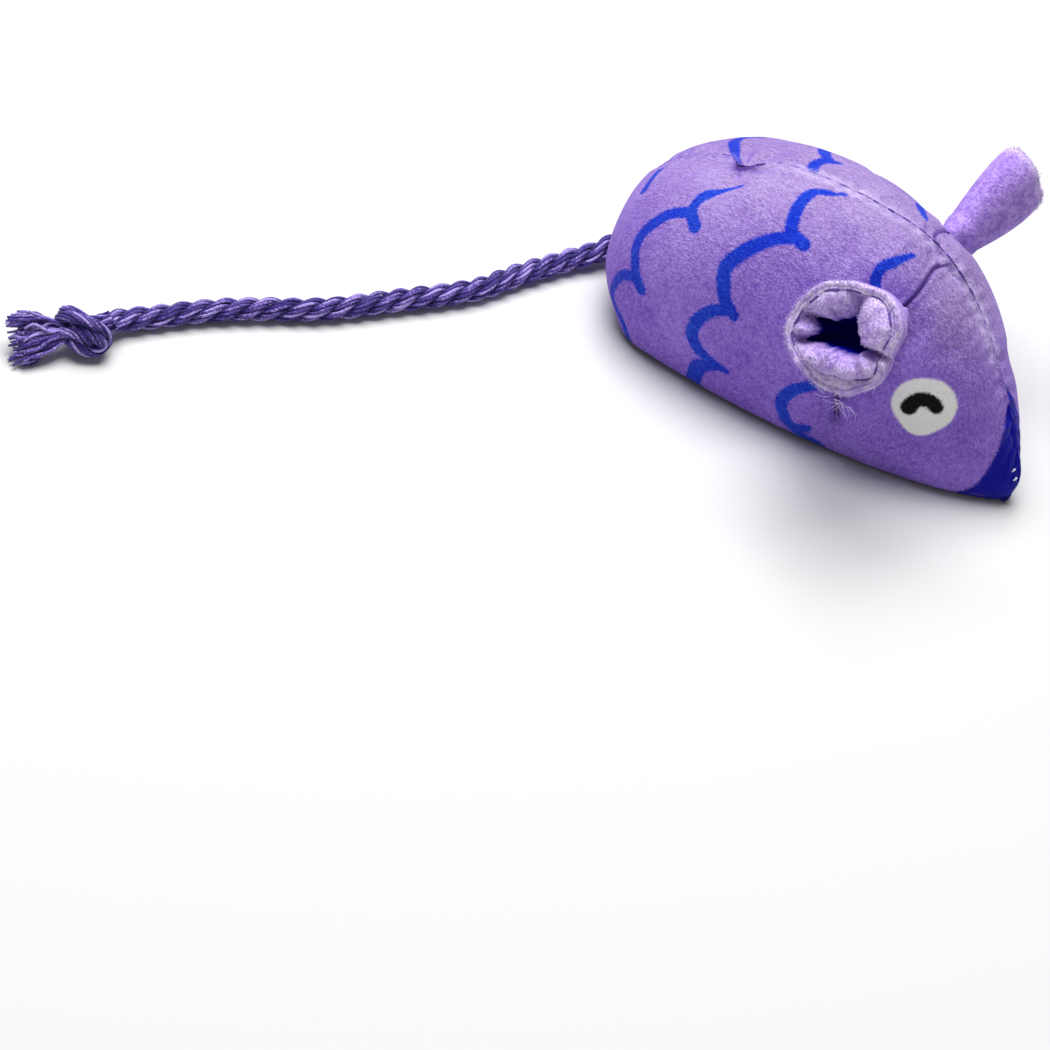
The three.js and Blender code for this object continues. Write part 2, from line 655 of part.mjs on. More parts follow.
const rootEnd = TAIL_ROOT_LENGTH - tailRadius - CLEARANCE;
const ropeEnd = routeLength - knotReach - CLEARANCE;
const liftPivot = route.getPointAt(TAIL_ROOT_LENGTH / routeLength);
const ROOT_STEPS = 6;
const ROPE_STEPS = 26;
const root = solid(tube(stretch(0, rootEnd, ROOT_STEPS), tailRadius, ROPE_SIDES, ROOT_STEPS));
add(mouse, "tail_root", geometryOf(root.add(ball(tailRadius, tailPivot))), ROPE_PURPLE, ROPE_ROUGHNESS);
const ropeLine = stretch(TAIL_ROOT_LENGTH, ropeEnd, ROPE_STEPS);
const rope = solid(tube(ropeLine, tailRadius, ROPE_SIDES, ROPE_STEPS));
add(mouse, "tail_rope", geometryOf(rope.add(ball(tailRadius, liftPivot))), ROPE_PURPLE, ROPE_ROUGHNESS);

// Knot and frayed end, turned to the tassel's heading
const frayed = new THREE.Group();
frayed.position.copy(knotCentre);
frayed.rotation.z = heading;
const knot = new THREE.SphereGeometry(0.5, BALL_SIDES, BALL_SIDES / 2);
knot.scale(KNOT_LENGTH, KNOT_WIDTH, KNOT_HEIGHT);
add(frayed, "tail_knot", knot, ROPE_PURPLE, ROPE_ROUGHNESS);
const TASSEL_STEPS = 6;
const TASSEL_SIDES = 16;
const tasselRings = [];
for (let i = 0; i <= TASSEL_STEPS; i++) {
  const share = i / TASSEL_STEPS;
  const half = tailRadius + (TASSEL_WIDTH / 2 - tailRadius) * share;
  const thick = tailRadius + (TASSEL_THICKNESS / 2 - tailRadius) * share;
  const droop = ((KNOT_HEIGHT - TASSEL_THICKNESS) / 2) * share;
  const ring = [];
  for (let j = 0; j < TASSEL_SIDES; j++) {
    const turn = (2 * Math.PI * j) / TASSEL_SIDES;
    const x = KNOT_LENGTH / 2 + CLEARANCE + TASSEL_LENGTH * share;
    ring.push(new THREE.Vector3(x, half * Math.cos(turn), thick * Math.sin(turn) - droop));
  }
  tasselRings.push(ring);
}
add(frayed, "tail_tassel", loft(tasselRings), ROPE_PURPLE, ROPE_ROUGHNESS);
mouse.add(frayed);

export default mouse;
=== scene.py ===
import json
import math

import bpy
import numpy as np
from mathutils import Euler, Matrix, Vector


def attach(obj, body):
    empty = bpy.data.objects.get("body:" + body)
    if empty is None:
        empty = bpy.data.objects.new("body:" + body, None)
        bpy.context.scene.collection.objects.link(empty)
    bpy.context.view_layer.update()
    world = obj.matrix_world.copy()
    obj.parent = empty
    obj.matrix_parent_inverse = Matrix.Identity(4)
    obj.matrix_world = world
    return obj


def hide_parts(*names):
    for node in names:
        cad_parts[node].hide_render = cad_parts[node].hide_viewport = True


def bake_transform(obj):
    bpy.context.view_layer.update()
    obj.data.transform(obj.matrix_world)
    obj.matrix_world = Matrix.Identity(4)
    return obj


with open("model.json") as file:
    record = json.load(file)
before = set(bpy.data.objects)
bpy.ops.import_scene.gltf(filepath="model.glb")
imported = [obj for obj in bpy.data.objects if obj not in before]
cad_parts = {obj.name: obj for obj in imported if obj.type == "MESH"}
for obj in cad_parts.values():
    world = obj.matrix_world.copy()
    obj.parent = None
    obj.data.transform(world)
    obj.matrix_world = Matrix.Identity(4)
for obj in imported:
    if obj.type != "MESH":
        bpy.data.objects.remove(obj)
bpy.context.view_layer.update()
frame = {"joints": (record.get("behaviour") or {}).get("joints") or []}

joints = {joint["name"]: joint for joint in frame["joints"]}
MM = 0.001

# Table top, soft light and camera.
# A plain pale surface under one large softbox that hangs above and behind the mouse, in a white room.
FLOOR_WHITE = "dadada"
FLOOR_SIZE = 6.0
ROOM_WHITE = "ffffff"
ROOM_STRENGTH = 0.18
SOFTBOX_PLACE = (-0.26, 0.10, 1.02)
SOFTBOX_SIZE = 0.8
SOFTBOX_WATTS = 18.0
CAMERA_PLACE = (0.20493, -0.50870, 0.46213)
CAMERA_AZIMUTH = 26.9
CAMERA_ELEVATION = 43.71
CAMERA_ROLL = 14.9
CAMERA_LENS = 122.65
CAMERA_SENSOR = 36


def linear(code):
    """An sRGB hex colour as the linear values that a socket takes."""
    shares = [int(code[i:i + 2], 16) / 255 for i in (0, 2, 4)]
    curved = [s / 12.92 if s <= 0.04045 else ((s + 0.055) / 1.055) ** 2.4 for s in shares]
    return (*curved, 1.0)


def node(tree, kind, values=None, stops=(), **settings):
    """Adds a node. A socket takes a value, a hex colour, a link or a node; stops are a ramp's colours."""
    made = tree.nodes.new("ShaderNode" + kind)
    for name, setting in settings.items():
        setattr(made, name, setting)
    for socket, value in (values or {}).items():
        if isinstance(value, str):
            value = linear(value)
        if isinstance(value, bpy.types.Node):
            value = next(output for output in value.outputs if output.enabled)
        if isinstance(value, bpy.types.NodeSocket):
            tree.links.new(value, made.inputs[socket])
        else:
            made.inputs[socket].default_value = value
    for i, (place, code) in enumerate(stops):
        stop = made.color_ramp.elements[i] if i < 2 else made.color_ramp.elements.new(place)
        stop.position = place
        stop.color = linear(code)
    return made


def new_material(name):
    """An empty node material and its tree."""
    material = bpy.data.materials.new(name)
    material.use_nodes = True
    material.node_tree.nodes.clear()
    return material, material.node_tree


def stored(tree, title):
    """The number that a piece keeps at each point under a name."""
    return node(tree, "Attribute", attribute_name=title).outputs["Fac"]


def noise(tree, place, grain, detail):
    """Noise with a grain in mm."""
    return node(tree, "TexNoise", {"Vector": place, "Scale": 1 / (grain * MM), "Detail": detail})


def maths(tree, operation, *values):
    """One operation on up to three values."""
    return node(tree, "Math", dict(enumerate(values)), operation=operation)


def mix(tree, share, first, second):
    """A colour that lies a share of the way from one colour to another."""
    return node(tree, "Mix", {"Factor": share, "A": first, "B": second}, data_type="RGBA")


def raised(tree, height, strength, distance):
    """Normals of a fine relief that is a distance in mm high."""
    return node(tree, "Bump", {"Height": height, "Strength": strength, "Distance": distance * MM})


def surface(tree, values):
    """Ends a material with one principled surface."""
    node(tree, "OutputMaterial", {"Surface": node(tree, "BsdfPrincipled", values)})


floor_paint, tree = new_material("pale_table_top")
matt = node(tree, "BsdfDiffuse", {"Color": FLOOR_WHITE})
node(tree, "OutputMaterial", {"Surface": matt})
bpy.ops.object.select_all(action="DESELECT")
bpy.ops.mesh.primitive_plane_add(size=FLOOR_SIZE)
floor = bpy.context.object
floor.name = "table_top"
floor.data.materials.append(floor_paint)

scene = bpy.context.scene
scene.view_settings.view_transform = "Standard"
room = bpy.data.worlds.new("white_room")
room.use_nodes = True
room.node_tree.nodes["Background"].inputs["Color"].default_value = linear(ROOM_WHITE)
room.node_tree.nodes["Background"].inputs["Strength"].default_value = ROOM_STRENGTH
scene.world = room

bpy.ops.object.light_add(type="AREA", location=SOFTBOX_PLACE)
softbox = bpy.context.object
softbox.name = "softbox"
softbox.data.size = SOFTBOX_SIZE
softbox.data.energy = SOFTBOX_WATTS
softbox.rotation_euler = Vector(SOFTBOX_PLACE).to_track_quat("Z", "Y").to_euler()

bpy.ops.object.camera_add(location=CAMERA_PLACE)
camera = bpy.context.object
camera.data.lens = CAMERA_LENS
camera.data.sensor_width = CAMERA_SENSOR
turn = Euler((math.radians(90 - CAMERA_ELEVATION), 0, math.radians(CAMERA_AZIMUTH))).to_matrix()
camera.rotation_euler = (turn @ Matrix.Rotation(math.radians(CAMERA_ROLL), 3, "Z")).to_euler()
scene.camera = camera

# Tail rope: a three-strand cotton cord, Z-laid, from the rump seam to its knot.
# Each strand is a ring of dyed yarns; the cord lies on the table after it drops from the rump.
TAIL_LYING = 2.6
TAIL_ROOT_IN = 1.2
TAIL_ROUTE = [
    (1.4, 3.2, 1.7), (2.6, 6.4, 0.9), (4.6, 10.8, 0.3), (6.4, 14.9, 0.05), (9.6, 24, 0), (12.4, 33.7, 0),
    (16.4, 41.6, 0), (20.8, 48.9, 0), (25.1, 56.2, 0), (29.6, 63.2, 0), (34.8, 69.2, 0), (39.9, 75.2, 0),
    (44.6, 81.6, 0), (48.8, 88.5, 0), (52.4, 95, 0.4), (53.7, 99.5, 1.3),
]
KNOT_PLACE = (54.3, 104.6, 4.7)
KNOT_ENTRY = 4.2
STRANDS = 3
YARNS = 9
STRAND_REACH = 1.1
YARN_REACH = 0.98
YARN_RADIUS = 0.33
YARN_UNSHADED_FROM = 1.95
ROPE_LAY = 13.2
STRAND_LAY = 9.5
YARN_SIDES = 6
ROPE_STEP = 0.45
ROOT_TAPER = (0.9, 8)
KNOT_TAPER = (0.82, 14)
ROPE_DARK = "241468"
ROPE_MID = "5c489e"
ROPE_LIGHT = "b09ce4"


def way_along(line):
    """Way from a line's start to each of its points."""
    return np.concatenate([[0], np.cumsum(np.linalg.norm(np.diff(line, axis=0), axis=1))])


def smooth_line(points, step):
    """Catmull-Rom line through the points, resampled at an even step."""
    points = np.asarray(points, float)
    ends = np.vstack([2 * points[0] - points[1], points, 2 * points[-1] - points[-2]])
    share = np.linspace(0, 1, 40, endpoint=False)[:, None]
    runs = []
    for a, b, c, d in zip(ends, ends[1:], ends[2:], ends[3:]):
        bend = (2 * a - 5 * b + 4 * c - d) * share ** 2 + (3 * b - a - 3 * c + d) * share ** 3
        runs.append(0.5 * (2 * b + (c - a) * share + bend))
    dense = np.vstack([*runs, points[-1:]])
    length = way_along(dense)
    places = np.linspace(0, length[-1], max(2, round(length[-1] / step) + 1))
    return np.stack([np.interp(places, length, column) for column in dense.T], 1)


def carried_frames(line):
    """Two directions across a line at each of its points, which turn as little as they can along it."""
    tangents = np.gradient(line, axis=0)
    tangents /= np.linalg.norm(tangents, axis=1, keepdims=True)
    across = np.cross(tangents[0], (0, 0, 1.0))
    if np.linalg.norm(across) < 0.1:
        across = np.cross(tangents[0], (0, 1.0, 0))
    rows = []
    for tangent in tangents:
        across = across - tangent * (across @ tangent)
        across = across / np.linalg.norm(across)
        rows.append(across)
    first = np.array(rows)
    return first, np.cross(tangents, first)


def tube_points(line, radius, sides):
    """Rings of points round a line; the radius may change along it."""
    first, second = carried_frames(line)
    turns = np.linspace(0, 2 * np.pi, sides, endpoint=False)
    ring = np.cos(turns)[None, :, None] * first[:, None] + np.sin(turns)[None, :, None] * second[:, None]
    return line[:, None] + ring * np.broadcast_to(radius, len(line))[:, None, None]


def new_piece(name, points, faces):
    """A smooth-shaded mesh piece from points in mm and their faces."""
    mesh = bpy.data.meshes.new(name)
    mesh.from_pydata((points * MM).tolist(), [], faces)
    mesh.polygons.foreach_set("use_smooth", [True] * len(mesh.polygons))
    piece = bpy.data.objects.new(name, mesh)
    scene.collection.objects.link(piece)
    return piece


def store(piece, title, values):
    """Keeps a number at each point, or one for all, under a name that a material can read."""
    attribute = piece.data.attributes.new(title, "FLOAT", "POINT")
    attribute.data.foreach_set("value", np.full(len(attribute.data), np.ravel(values), np.float32))


def tubes_piece(name, tubes):
    """One mesh of closed tubes, each (rings of points, shade); keeps the shade and the way along them."""
    points, faces, shades, ways = [], [], [], []
    base = 0
    for rings, shade in tubes:
        count, sides = rings.shape[:2]
        grid = base + np.arange(count * sides).reshape(count, sides)
        around = np.roll(grid, -1, axis=1)
        quads = np.stack([grid[:-1], around[:-1], around[1:], grid[1:]], -1).reshape(-1, 4)
        faces += quads.tolist()
        faces += [grid[0][::-1].tolist(), grid[-1].tolist()]
        points.append(rings.reshape(-1, 3))
        shades.append(np.broadcast_to(np.reshape(shade, (-1, 1)), (count, sides)).ravel())
        ways.append(np.repeat(way_along(rings.mean(1)), sides))
        base += count * sides
    piece = new_piece(name, np.vstack(points), faces)
    store(piece, "shade", np.concatenate(shades))
    store(piece, "along", np.concatenate(ways))
    return piece


def rope_tubes(line, girth, lay, seed):
    """The yarns of a laid rope, thinned by girth: shades at random, less painted shade down between the
    strands.
    """
    rng = np.random.default_rng(seed)
    first, second = carried_frames(line)
    step = np.linalg.norm(np.diff(line, axis=0), axis=1).mean()
    along = np.arange(len(line)) * step
    girth = np.broadcast_to(girth, len(line))

    def offset(angle, reach):
        direction = np.cos(angle)[:, None] * first + np.sin(angle)[:, None] * second
        return direction * (reach * girth)[:, None]

    tubes = []
    for strand in range(STRANDS):
        turn_on = 2 * np.pi * (strand / STRANDS - along / lay)
        middle = line + offset(turn_on, STRAND_REACH)
        for yarn in range(YARNS):
            wander = 0.12 * np.sin(along / rng.uniform(5, 9) + rng.uniform(0, 6))
            angle = turn_on + 2 * np.pi * (yarn / YARNS + along / STRAND_LAY) + wander
            path = middle + offset(angle, YARN_REACH)
            radius = YARN_RADIUS * rng.uniform(0.88, 1.06) * girth
            # painted shade: yarns that lie nearer the rope's middle, down between the strands, are darkened
            groove_shade = np.clip((YARN_UNSHADED_FROM - np.linalg.norm(path - line, axis=1) / girth) / 0.6, 0, 1)
            tubes.append((tube_points(path, radius, YARN_SIDES), rng.uniform(0, 1) - 0.65 * groove_shade))
    return tubes


def rope_cotton():
    """Dyed twisted cotton: matt yarns with fine fibre streaks along them, some yarns paler than others."""
    material, tree = new_material("dyed_twisted_cotton")
    # shade is each yarn's random tone less the painted shade between the strands
    shade = stored(tree, "shade")
    along = stored(tree, "along")
    place = node(tree, "TexCoord").outputs["Object"]
    fibre = noise(tree, place, 0.35, 3)
    slow = node(tree, "TexNoise", {"W": along, "Scale": 0.25, "Detail": 1}, noise_dimensions="1D")
    mixed = maths(tree, "MULTIPLY_ADD", shade, 0.45, fibre)
    tone = maths(tree, "MULTIPLY_ADD", slow, 0.2, mixed)
    dye = node(tree, "ValToRGB", {"Fac": tone}, stops=[(0.5, ROPE_DARK), (0.8, ROPE_MID), (1.0, ROPE_LIGHT)])
    bump = raised(tree, fibre, 0.6, 0.12)
    surface(tree, {
        "Base Color": dye, "Roughness": 0.85, "Normal": bump,
        "Sheen Weight": 0.25, "Sheen Roughness": 0.5, "Specular IOR Level": 0.25,
    })
    return material


tail_pivot = np.array(joints["tail_swing"]["pos_m"]) / MM
tail_points = [(tail_pivot[0] - back, -right, TAIL_LYING + rise) for back, right, rise in TAIL_ROUTE]
knot_centre = np.array((tail_pivot[0] - KNOT_PLACE[0], -KNOT_PLACE[1], KNOT_PLACE[2]))
rope_line = smooth_line([tail_pivot, *tail_points, knot_centre], ROPE_STEP)[:-round(KNOT_ENTRY / ROPE_STEP)]
into_seam = np.linspace(tail_pivot + (TAIL_ROOT_IN, 0, 0), tail_pivot, 4)[:-1]
whole_line = np.vstack([into_seam, rope_line])
tapers = [0, ROOT_TAPER[1], len(whole_line) - KNOT_TAPER[1], len(whole_line)]
rope_girth = np.interp(np.arange(len(whole_line)), tapers, [ROOT_TAPER[0], 1, 1, KNOT_TAPER[0]])
cotton = rope_cotton()
tail_rope = tubes_piece("tail_cord", rope_tubes(whole_line, rope_girth, ROPE_LAY, seed=3))
tail_rope.data.materials.append(cotton)
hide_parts("tail_root", "tail_rope")
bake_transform(tail_rope)

# Tail knot: one overhand knot pulled tight near the end of the cord.
# The cord comes in under its own loop, turns over the front and leaves through the middle.
KNOT_GIRTH = 0.9
KNOT_LAY = 30.0
KNOT_PATH = [
    (6.0, 1.8, -0.4), (3.6, 0.7, -1.2), (0.6, 1.0, -1.6), (-2.2, 2.2, -1.3), (-3.5, 2.9, 0.0),
    (-2.4, 2.7, 1.5), (0.2, 1.0, 2.3), (2.3, -0.9, 2.0), (3.3, -2.3, 0.9), (2.4, -3.2, 0.4),
    (0.8, -3.2, 0.3), (-1.0, -2.2, 0.7), (-2.4, -0.8, 0.6), (-4.6, 0.0, 0.0),
]
KNOT_LEAN = 44.0
TASSEL_HEADING = 235.0

heading = math.radians(TASSEL_HEADING)
lean = math.radians(KNOT_LEAN)
towards_rope = -np.array([math.cos(heading), math.sin(heading), 0])
aside = np.cross((0, 0, 1.0), towards_rope)
knot_up = aside * math.cos(lean) + np.array([0, 0, math.sin(lean)])
knot_out = np.cross(towards_rope, knot_up)


def in_knot(points):
    """Points of the knot, given as (towards the rope, up, out), in the part's frame."""
    return knot_centre + np.asarray(points) @ np.array([towards_rope, knot_up, knot_out])


knot_line = smooth_line(in_knot(KNOT_PATH), ROPE_STEP)
tail_knot = tubes_piece("tail_overhand_knot", rope_tubes(knot_line, KNOT_GIRTH, KNOT_LAY, seed=5))
tail_knot.data.materials.append(cotton)
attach(tail_knot, "tail")
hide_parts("tail_knot")

# Tassel: the yarns past the knot, unlaid and frayed.
# They fan out flat on the table, each a little wavy.
TASSEL_YARNS = 84
TASSEL_ROOT = (-3.4, 1.5)
TASSEL_REACH = (10.2, 14.6)
TASSEL_SPREAD = (-5.6, 4.2)
TASSEL_WAVE = 0.9
TASSEL_YARN_RADIUS = 0.29
TASSEL_LOWEST = 0.5
TASSEL_STEP = 0.6

rng = np.random.default_rng(11)
tassel_tubes = []
for i in range(TASSEL_YARNS):
    share = (i + rng.uniform(0.1, 0.9)) / TASSEL_YARNS
    reach = rng.uniform(*TASSEL_REACH)
    tip_up = TASSEL_SPREAD[0] + (TASSEL_SPREAD[1] - TASSEL_SPREAD[0]) * share
    root = np.array([TASSEL_ROOT[0], TASSEL_ROOT[1] * (2 * share - 1), rng.uniform(-1.5, 1.2)])
    tip = np.array([-reach, tip_up + rng.uniform(-0.8, 0.8), rng.uniform(-2.0, 1.4)])
    wave = rng.uniform(-TASSEL_WAVE, TASSEL_WAVE, 2)
    second = root * 0.6 + tip * 0.4 + (0, wave[0], 0.3)
    third = root * 0.25 + tip * 0.75 + (0, wave[1], 0.2)
    line = smooth_line(in_knot([root, second, third, tip]), TASSEL_STEP)
    line[:, 2] = np.maximum(line[:, 2], TASSEL_LOWEST)
    thinned = np.interp(np.arange(len(line)), [0, len(line) - 4, len(line) - 1], [1.1, 1, 0.8])
    rings = tube_points(line, TASSEL_YARN_RADIUS * thinned, YARN_SIDES)
    tassel_tubes.append((rings, rng.uniform(0, 1)))
tassel = tubes_piece("tail_frayed_end", tassel_tubes)
tassel.data.materials.append(cotton)
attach(tassel, "tail")
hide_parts("tail_tassel")

# Catnip pouch: a muslin pillow of dried herb, sewn flat along its four edges.
# It lies on the base inside the stuffing, where only a cut or an X-ray shows it.
POUCH_SIZE = (33.6, 19.6)
POUCH_THICKNESS = 8.6
POUCH_MIDDLE = (-1.5, 0, 6.3)
POUCH_EDGE = 0.5
POUCH_GRID = (57, 41)
POUCH_DRAWN_IN = 0.05
POUCH_LUMPS = 0.35
MUSLIN = "cfc6a8"
MUSLIN_DARK = "a99e7c"
MUSLIN_THREAD_MM = 0.5
WAVE_BAND = 0.314


def cloth_grid(name, points):
    """A primitive grid whose points are put at rows of places in mm; the columns run along its own X."""
    rows, columns = points.shape[:2]
    bpy.ops.object.select_all(action="DESELECT")
    bpy.ops.mesh.primitive_grid_add(x_subdivisions=columns - 1, y_subdivisions=rows - 1, size=1)
    piece = bpy.context.object
    piece.name = name
    piece.data.name = name
    piece.data.vertices.foreach_set("co", (points * MM).astype(np.float32).ravel())
    piece.data.polygons.foreach_set("use_smooth", [True] * len(piece.data.polygons))
    piece.data.update()
    return piece


def pick(*pieces):
    """Selects these pieces and no others, and makes the first one active."""
    bpy.ops.object.select_all(action="DESELECT")
    for piece in pieces:
        piece.select_set(True)
    bpy.context.view_layer.objects.active = pieces[0]


def apply_modifiers(piece):
    """Applies a piece's modifiers in their order."""
    pick(piece)
    for modifier in list(piece.modifiers):
        bpy.ops.object.modifier_apply(modifier=modifier.name)


v, u = np.meshgrid(np.linspace(-1, 1, POUCH_GRID[1]), np.linspace(-1, 1, POUCH_GRID[0]), indexing="ij")
crown = (1 - u ** 4) * (1 - v ** 4)
narrowed = 1 - POUCH_DRAWN_IN * (1 - np.abs(u)) * np.abs(v) ** 4
shortened = 1 - POUCH_DRAWN_IN * (1 - np.abs(v)) * np.abs(u) ** 4
lumps = POUCH_LUMPS * (np.sin(5 * u + 1) * np.sin(4 * v + 2) - 1) * crown
height = POUCH_EDGE / 2 + (POUCH_THICKNESS - POUCH_EDGE) / 2 * crown + lumps
pouch_halves = []
for up in (1, -1):
    face = np.stack([u * POUCH_SIZE[0] / 2 * shortened, v * POUCH_SIZE[1] / 2 * narrowed, up * height], -1)
    half = cloth_grid("catnip_pillow", face + POUCH_MIDDLE)
    if up < 0:
        half.data.flip_normals()
    pouch_halves.append(half)
pouch = pouch_halves[0]
pick(*pouch_halves)
bpy.ops.object.join()
bpy.ops.object.mode_set(mode="EDIT")
bpy.ops.mesh.select_all(action="DESELECT")
bpy.ops.mesh.select_non_manifold()
bpy.ops.mesh.bridge_edge_loops()
bpy.ops.object.mode_set(mode="OBJECT")
muslin, tree = new_material("undyed_muslin")
place = node(tree, "TexCoord").outputs["Object"]
# at a scale of 1 the wave texture's bands lie WAVE_BAND apart, and each thread gets one band
threads = {"Vector": place, "Scale": WAVE_BAND / (MUSLIN_THREAD_MM * MM)}
warp = node(tree, "TexWave", threads).outputs["Fac"]
weft = node(tree, "TexWave", threads, bands_direction="Y").outputs["Fac"]
weave = maths(tree, "MULTIPLY", warp, weft)
tint = mix(tree, weave, MUSLIN_DARK, MUSLIN)
bump = raised(tree, weave, 0.5, 0.15)
surface(tree, {"Base Color": tint, "Roughness": 0.9, "Normal": bump})
pouch.data.materials.clear()
pouch.data.materials.append(muslin)
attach(pouch, "body")
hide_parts("catnip_pouch")

# Stuffing: one wad of white polyester fibre that fills the skin.
# Lofted like cotton wool, hollowed for the pouch and the knotted end of the tail.
WAD_CLEAR = 0.4
WAD_VOXEL = 1.6
WAD_TUFT = 6
WAD_DENT = 0.9
WAD_WHITE = "e9e7e2"
WAD_SHADE = "c9c6bf"

wad = bpy.data.objects["stuffing"].copy()
wad.data = wad.data.copy()
wad.name = "fibre_wad"
wad.parent = None
wad.matrix_world = Matrix.Identity(4)
scene.collection.objects.link(wad)
pick(wad)
bpy.ops.object.mode_set(mode="EDIT")
bpy.ops.mesh.select_all(action="SELECT")
bpy.ops.mesh.remove_doubles(threshold=1e-6)
bpy.ops.object.mode_set(mode="OBJECT")
inward = wad.modifiers.new("clear_of_skin", "DISPLACE")
inward.strength = -WAD_CLEAR * MM
inward.mid_level = 0
apply_modifiers(wad)
remesh = wad.modifiers.new("even_loft", "REMESH")
remesh.mode = "VOXEL"
remesh.voxel_size = WAD_VOXEL * MM
tufts = bpy.data.textures.new("fibre_tufts", "CLOUDS")
tufts.noise_scale = WAD_TUFT * MM
dents = wad.modifiers.new("tufts", "DISPLACE")
dents.texture = tufts
dents.texture_coords = "GLOBAL"
dents.mid_level = 1
dents.strength = WAD_DENT * MM
apply_modifiers(wad)
wad.data.polygons.foreach_set("use_smooth", [True] * len(wad.data.polygons))
fibre, tree = new_material("polyester_fibrefill")
place = node(tree, "TexCoord").outputs["Object"]
fluff = noise(tree, place, 1.2, 4)
tint = mix(tree, fluff, WAD_SHADE, WAD_WHITE)
bump = raised(tree, fluff, 0.7, 0.5)
surface(tree, {"Base Color": tint, "Roughness": 1.0, "Normal": bump, "Sheen Weight": 0.3})
wad.data.materials.clear()
wad.data.materials.append(fibre)
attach(wad, "body")
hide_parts("stuffing")

# Tail anchor: the near end of the same cord, which runs in from the seam and is knotted inside the rump.
# The knot is wider than the hole in the seam, so that the tail can't be pulled out.
ANCHOR_ROUTE = [(-43.8, 0, 4.8), (-40, 0, 4.9), (-37.2, 0, 5.6)]
ANCHOR_ROPE_GIRTH = 0.95
ANCHOR_KNOT_PLACE = (-32.1, 0, 6.8)
ANCHOR_KNOT_SHARE = 0.72
ANCHOR_KNOT_GIRTH = 0.66

inner_line = smooth_line([tail_pivot, *ANCHOR_ROUTE], ROPE_STEP)
anchor_knot = np.array(KNOT_PATH) * ANCHOR_KNOT_SHARE * (-1, 1, 1) + ANCHOR_KNOT_PLACE
anchor_tubes = rope_tubes(inner_line, ANCHOR_ROPE_GIRTH, ROPE_LAY, seed=7)
anchor_tubes += rope_tubes(smooth_line(anchor_knot, ROPE_STEP), ANCHOR_KNOT_GIRTH, KNOT_LAY, seed=8)
tail_anchor = tubes_piece("tail_inner_knot", anchor_tubes)
tail_anchor.data.materials.append(cotton)
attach(tail_anchor, "body")
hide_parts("tail_anchor")

# Side panels: two printed halves of short-pile plush, sewn together along the back and to the base below.
# The skin is blown up by a cloth simulation held at its seams, then seams, darts and puckers are drawn in.
# The scallops, the winking eye and the nose are printed on the pile, so that their edges are soft.
BODY_LENGTH = 95
HALF_WIDTH = 24.35
WIDEST_AT = 20.5
WIDTH_SWELL = (2, 2, 0.71)
BODY_TOP = 47
HIGHEST_AT = 56.5
HEIGHT_SWELL = (2.3, 2.13, 0.88)
RUMP_RISE = 12.3
NOSE_RISE = 6.5
RUMP_TUCK = 7
RUMP_TUCK_HIGH = 9
SKIN_LOW = 2.4
BULGE_HIGH = 0.312
BULGE_PLACE = 0.25
HEM_WIDTH = 0.88
SECTION_POWER = 2 / 2.185
SEAM_HALF_GAP = 0.15
PLUSH_THICKNESS = 1.5
FINE_GRID = (261, 151)
SIM_GRID = (101, 61)
GRID_CROWDED = (0.61, 0.055, 0.03)
SIM_SCALE = 10
SIM_FRAMES = 18
SIM_CAP = 0.55
SIM_START_IN = 0.7
SIM_HELD = (1.2, 5)
SIM_CLOTH = {
    "quality": 6, "mass": 0.3, "tension_stiffness": 18, "compression_stiffness": 18, "shear_stiffness": 8,
    "bending_stiffness": 0.6, "shrink_min": -0.035, "use_pressure": True, "uniform_pressure_force": 3.0,
}
LEFT_DART_BACK = 0.052
DART_TOP = [(0.712, 0.985), (0.702, 0.91), (0.705, 0.774), (0.697, 0.653), (0.683, 0.56)]
DART_END = [(0.668, 0.42), (0.649, 0.30), (0.649, 0.216), (0.659, 0.141)]
EAR_SEAT = (0.679, 0.55)
TUCK_LINE = [(.658, .241), (.657, .215), (.656, .18), (.658, .15), (.659, .124)]
PUCKER_EVERY = 3.1
PUCKER_DEEP = 0.26
PUCKER_RUN = 2.4
PUCKER_FROM = 0.6
SEAM_PULL_EVERY = 3.6
CLOSING_AT = 0.232
CLOSING_RUN = 0.036
CLOSING_SHIFT = 4.5
CLOSING_FOLDS = 6
CLOSING_REACH = 6.5
FAR = 20.0

# Grooves and dips in the skin, and the painted shade in them, each as (depth or strength, half width in mm)
SPINE_GROOVE = (0.55, 0.8)
SPINE_DIP = (0.35, 3.0)
HEM_GROOVE = (0.5, 1.5)
HEM_DROP = (1.9, 3.0)
DART_GROOVE = (1.0, 0.42)
DART_DIP = (0.75, 3.0)
TUCK_GROOVE = (0.9, 1.1)
EAR_SEAT_DIP = (1.0, 7.0)
SPINE_SHADE = (0.7, 0.5)
DART_SHADE = (0.95, 0.36)
TUCK_SHADE = (0.7, 0.7)
CLOSING_SHADE = (0.9, 2.6)

# Nap colours, and a paler copy of them that is painted light on the parts that face up
PLUSH_NAP = ("7450bd", "8b67d1", "a484e6")
TOP_LIGHT_NAP = ("7e66aa", "977fba", "b7a2d4")
NAP_STOPS = (0.44, 0.56, 0.72)
PRINT_BLUE = "0a2abc"
PRINT_BLUE_LIT = "2f5ee0"
NOSE_BLUE = "02049a"
EYE_WHITE = "f3f3f0"
EYE_BLACK = "050506"
SEAM_SHADE = "4a2f86"
PILE_PALE = "ddd0f2"
PILE_SHEEN = "d9c8ff"

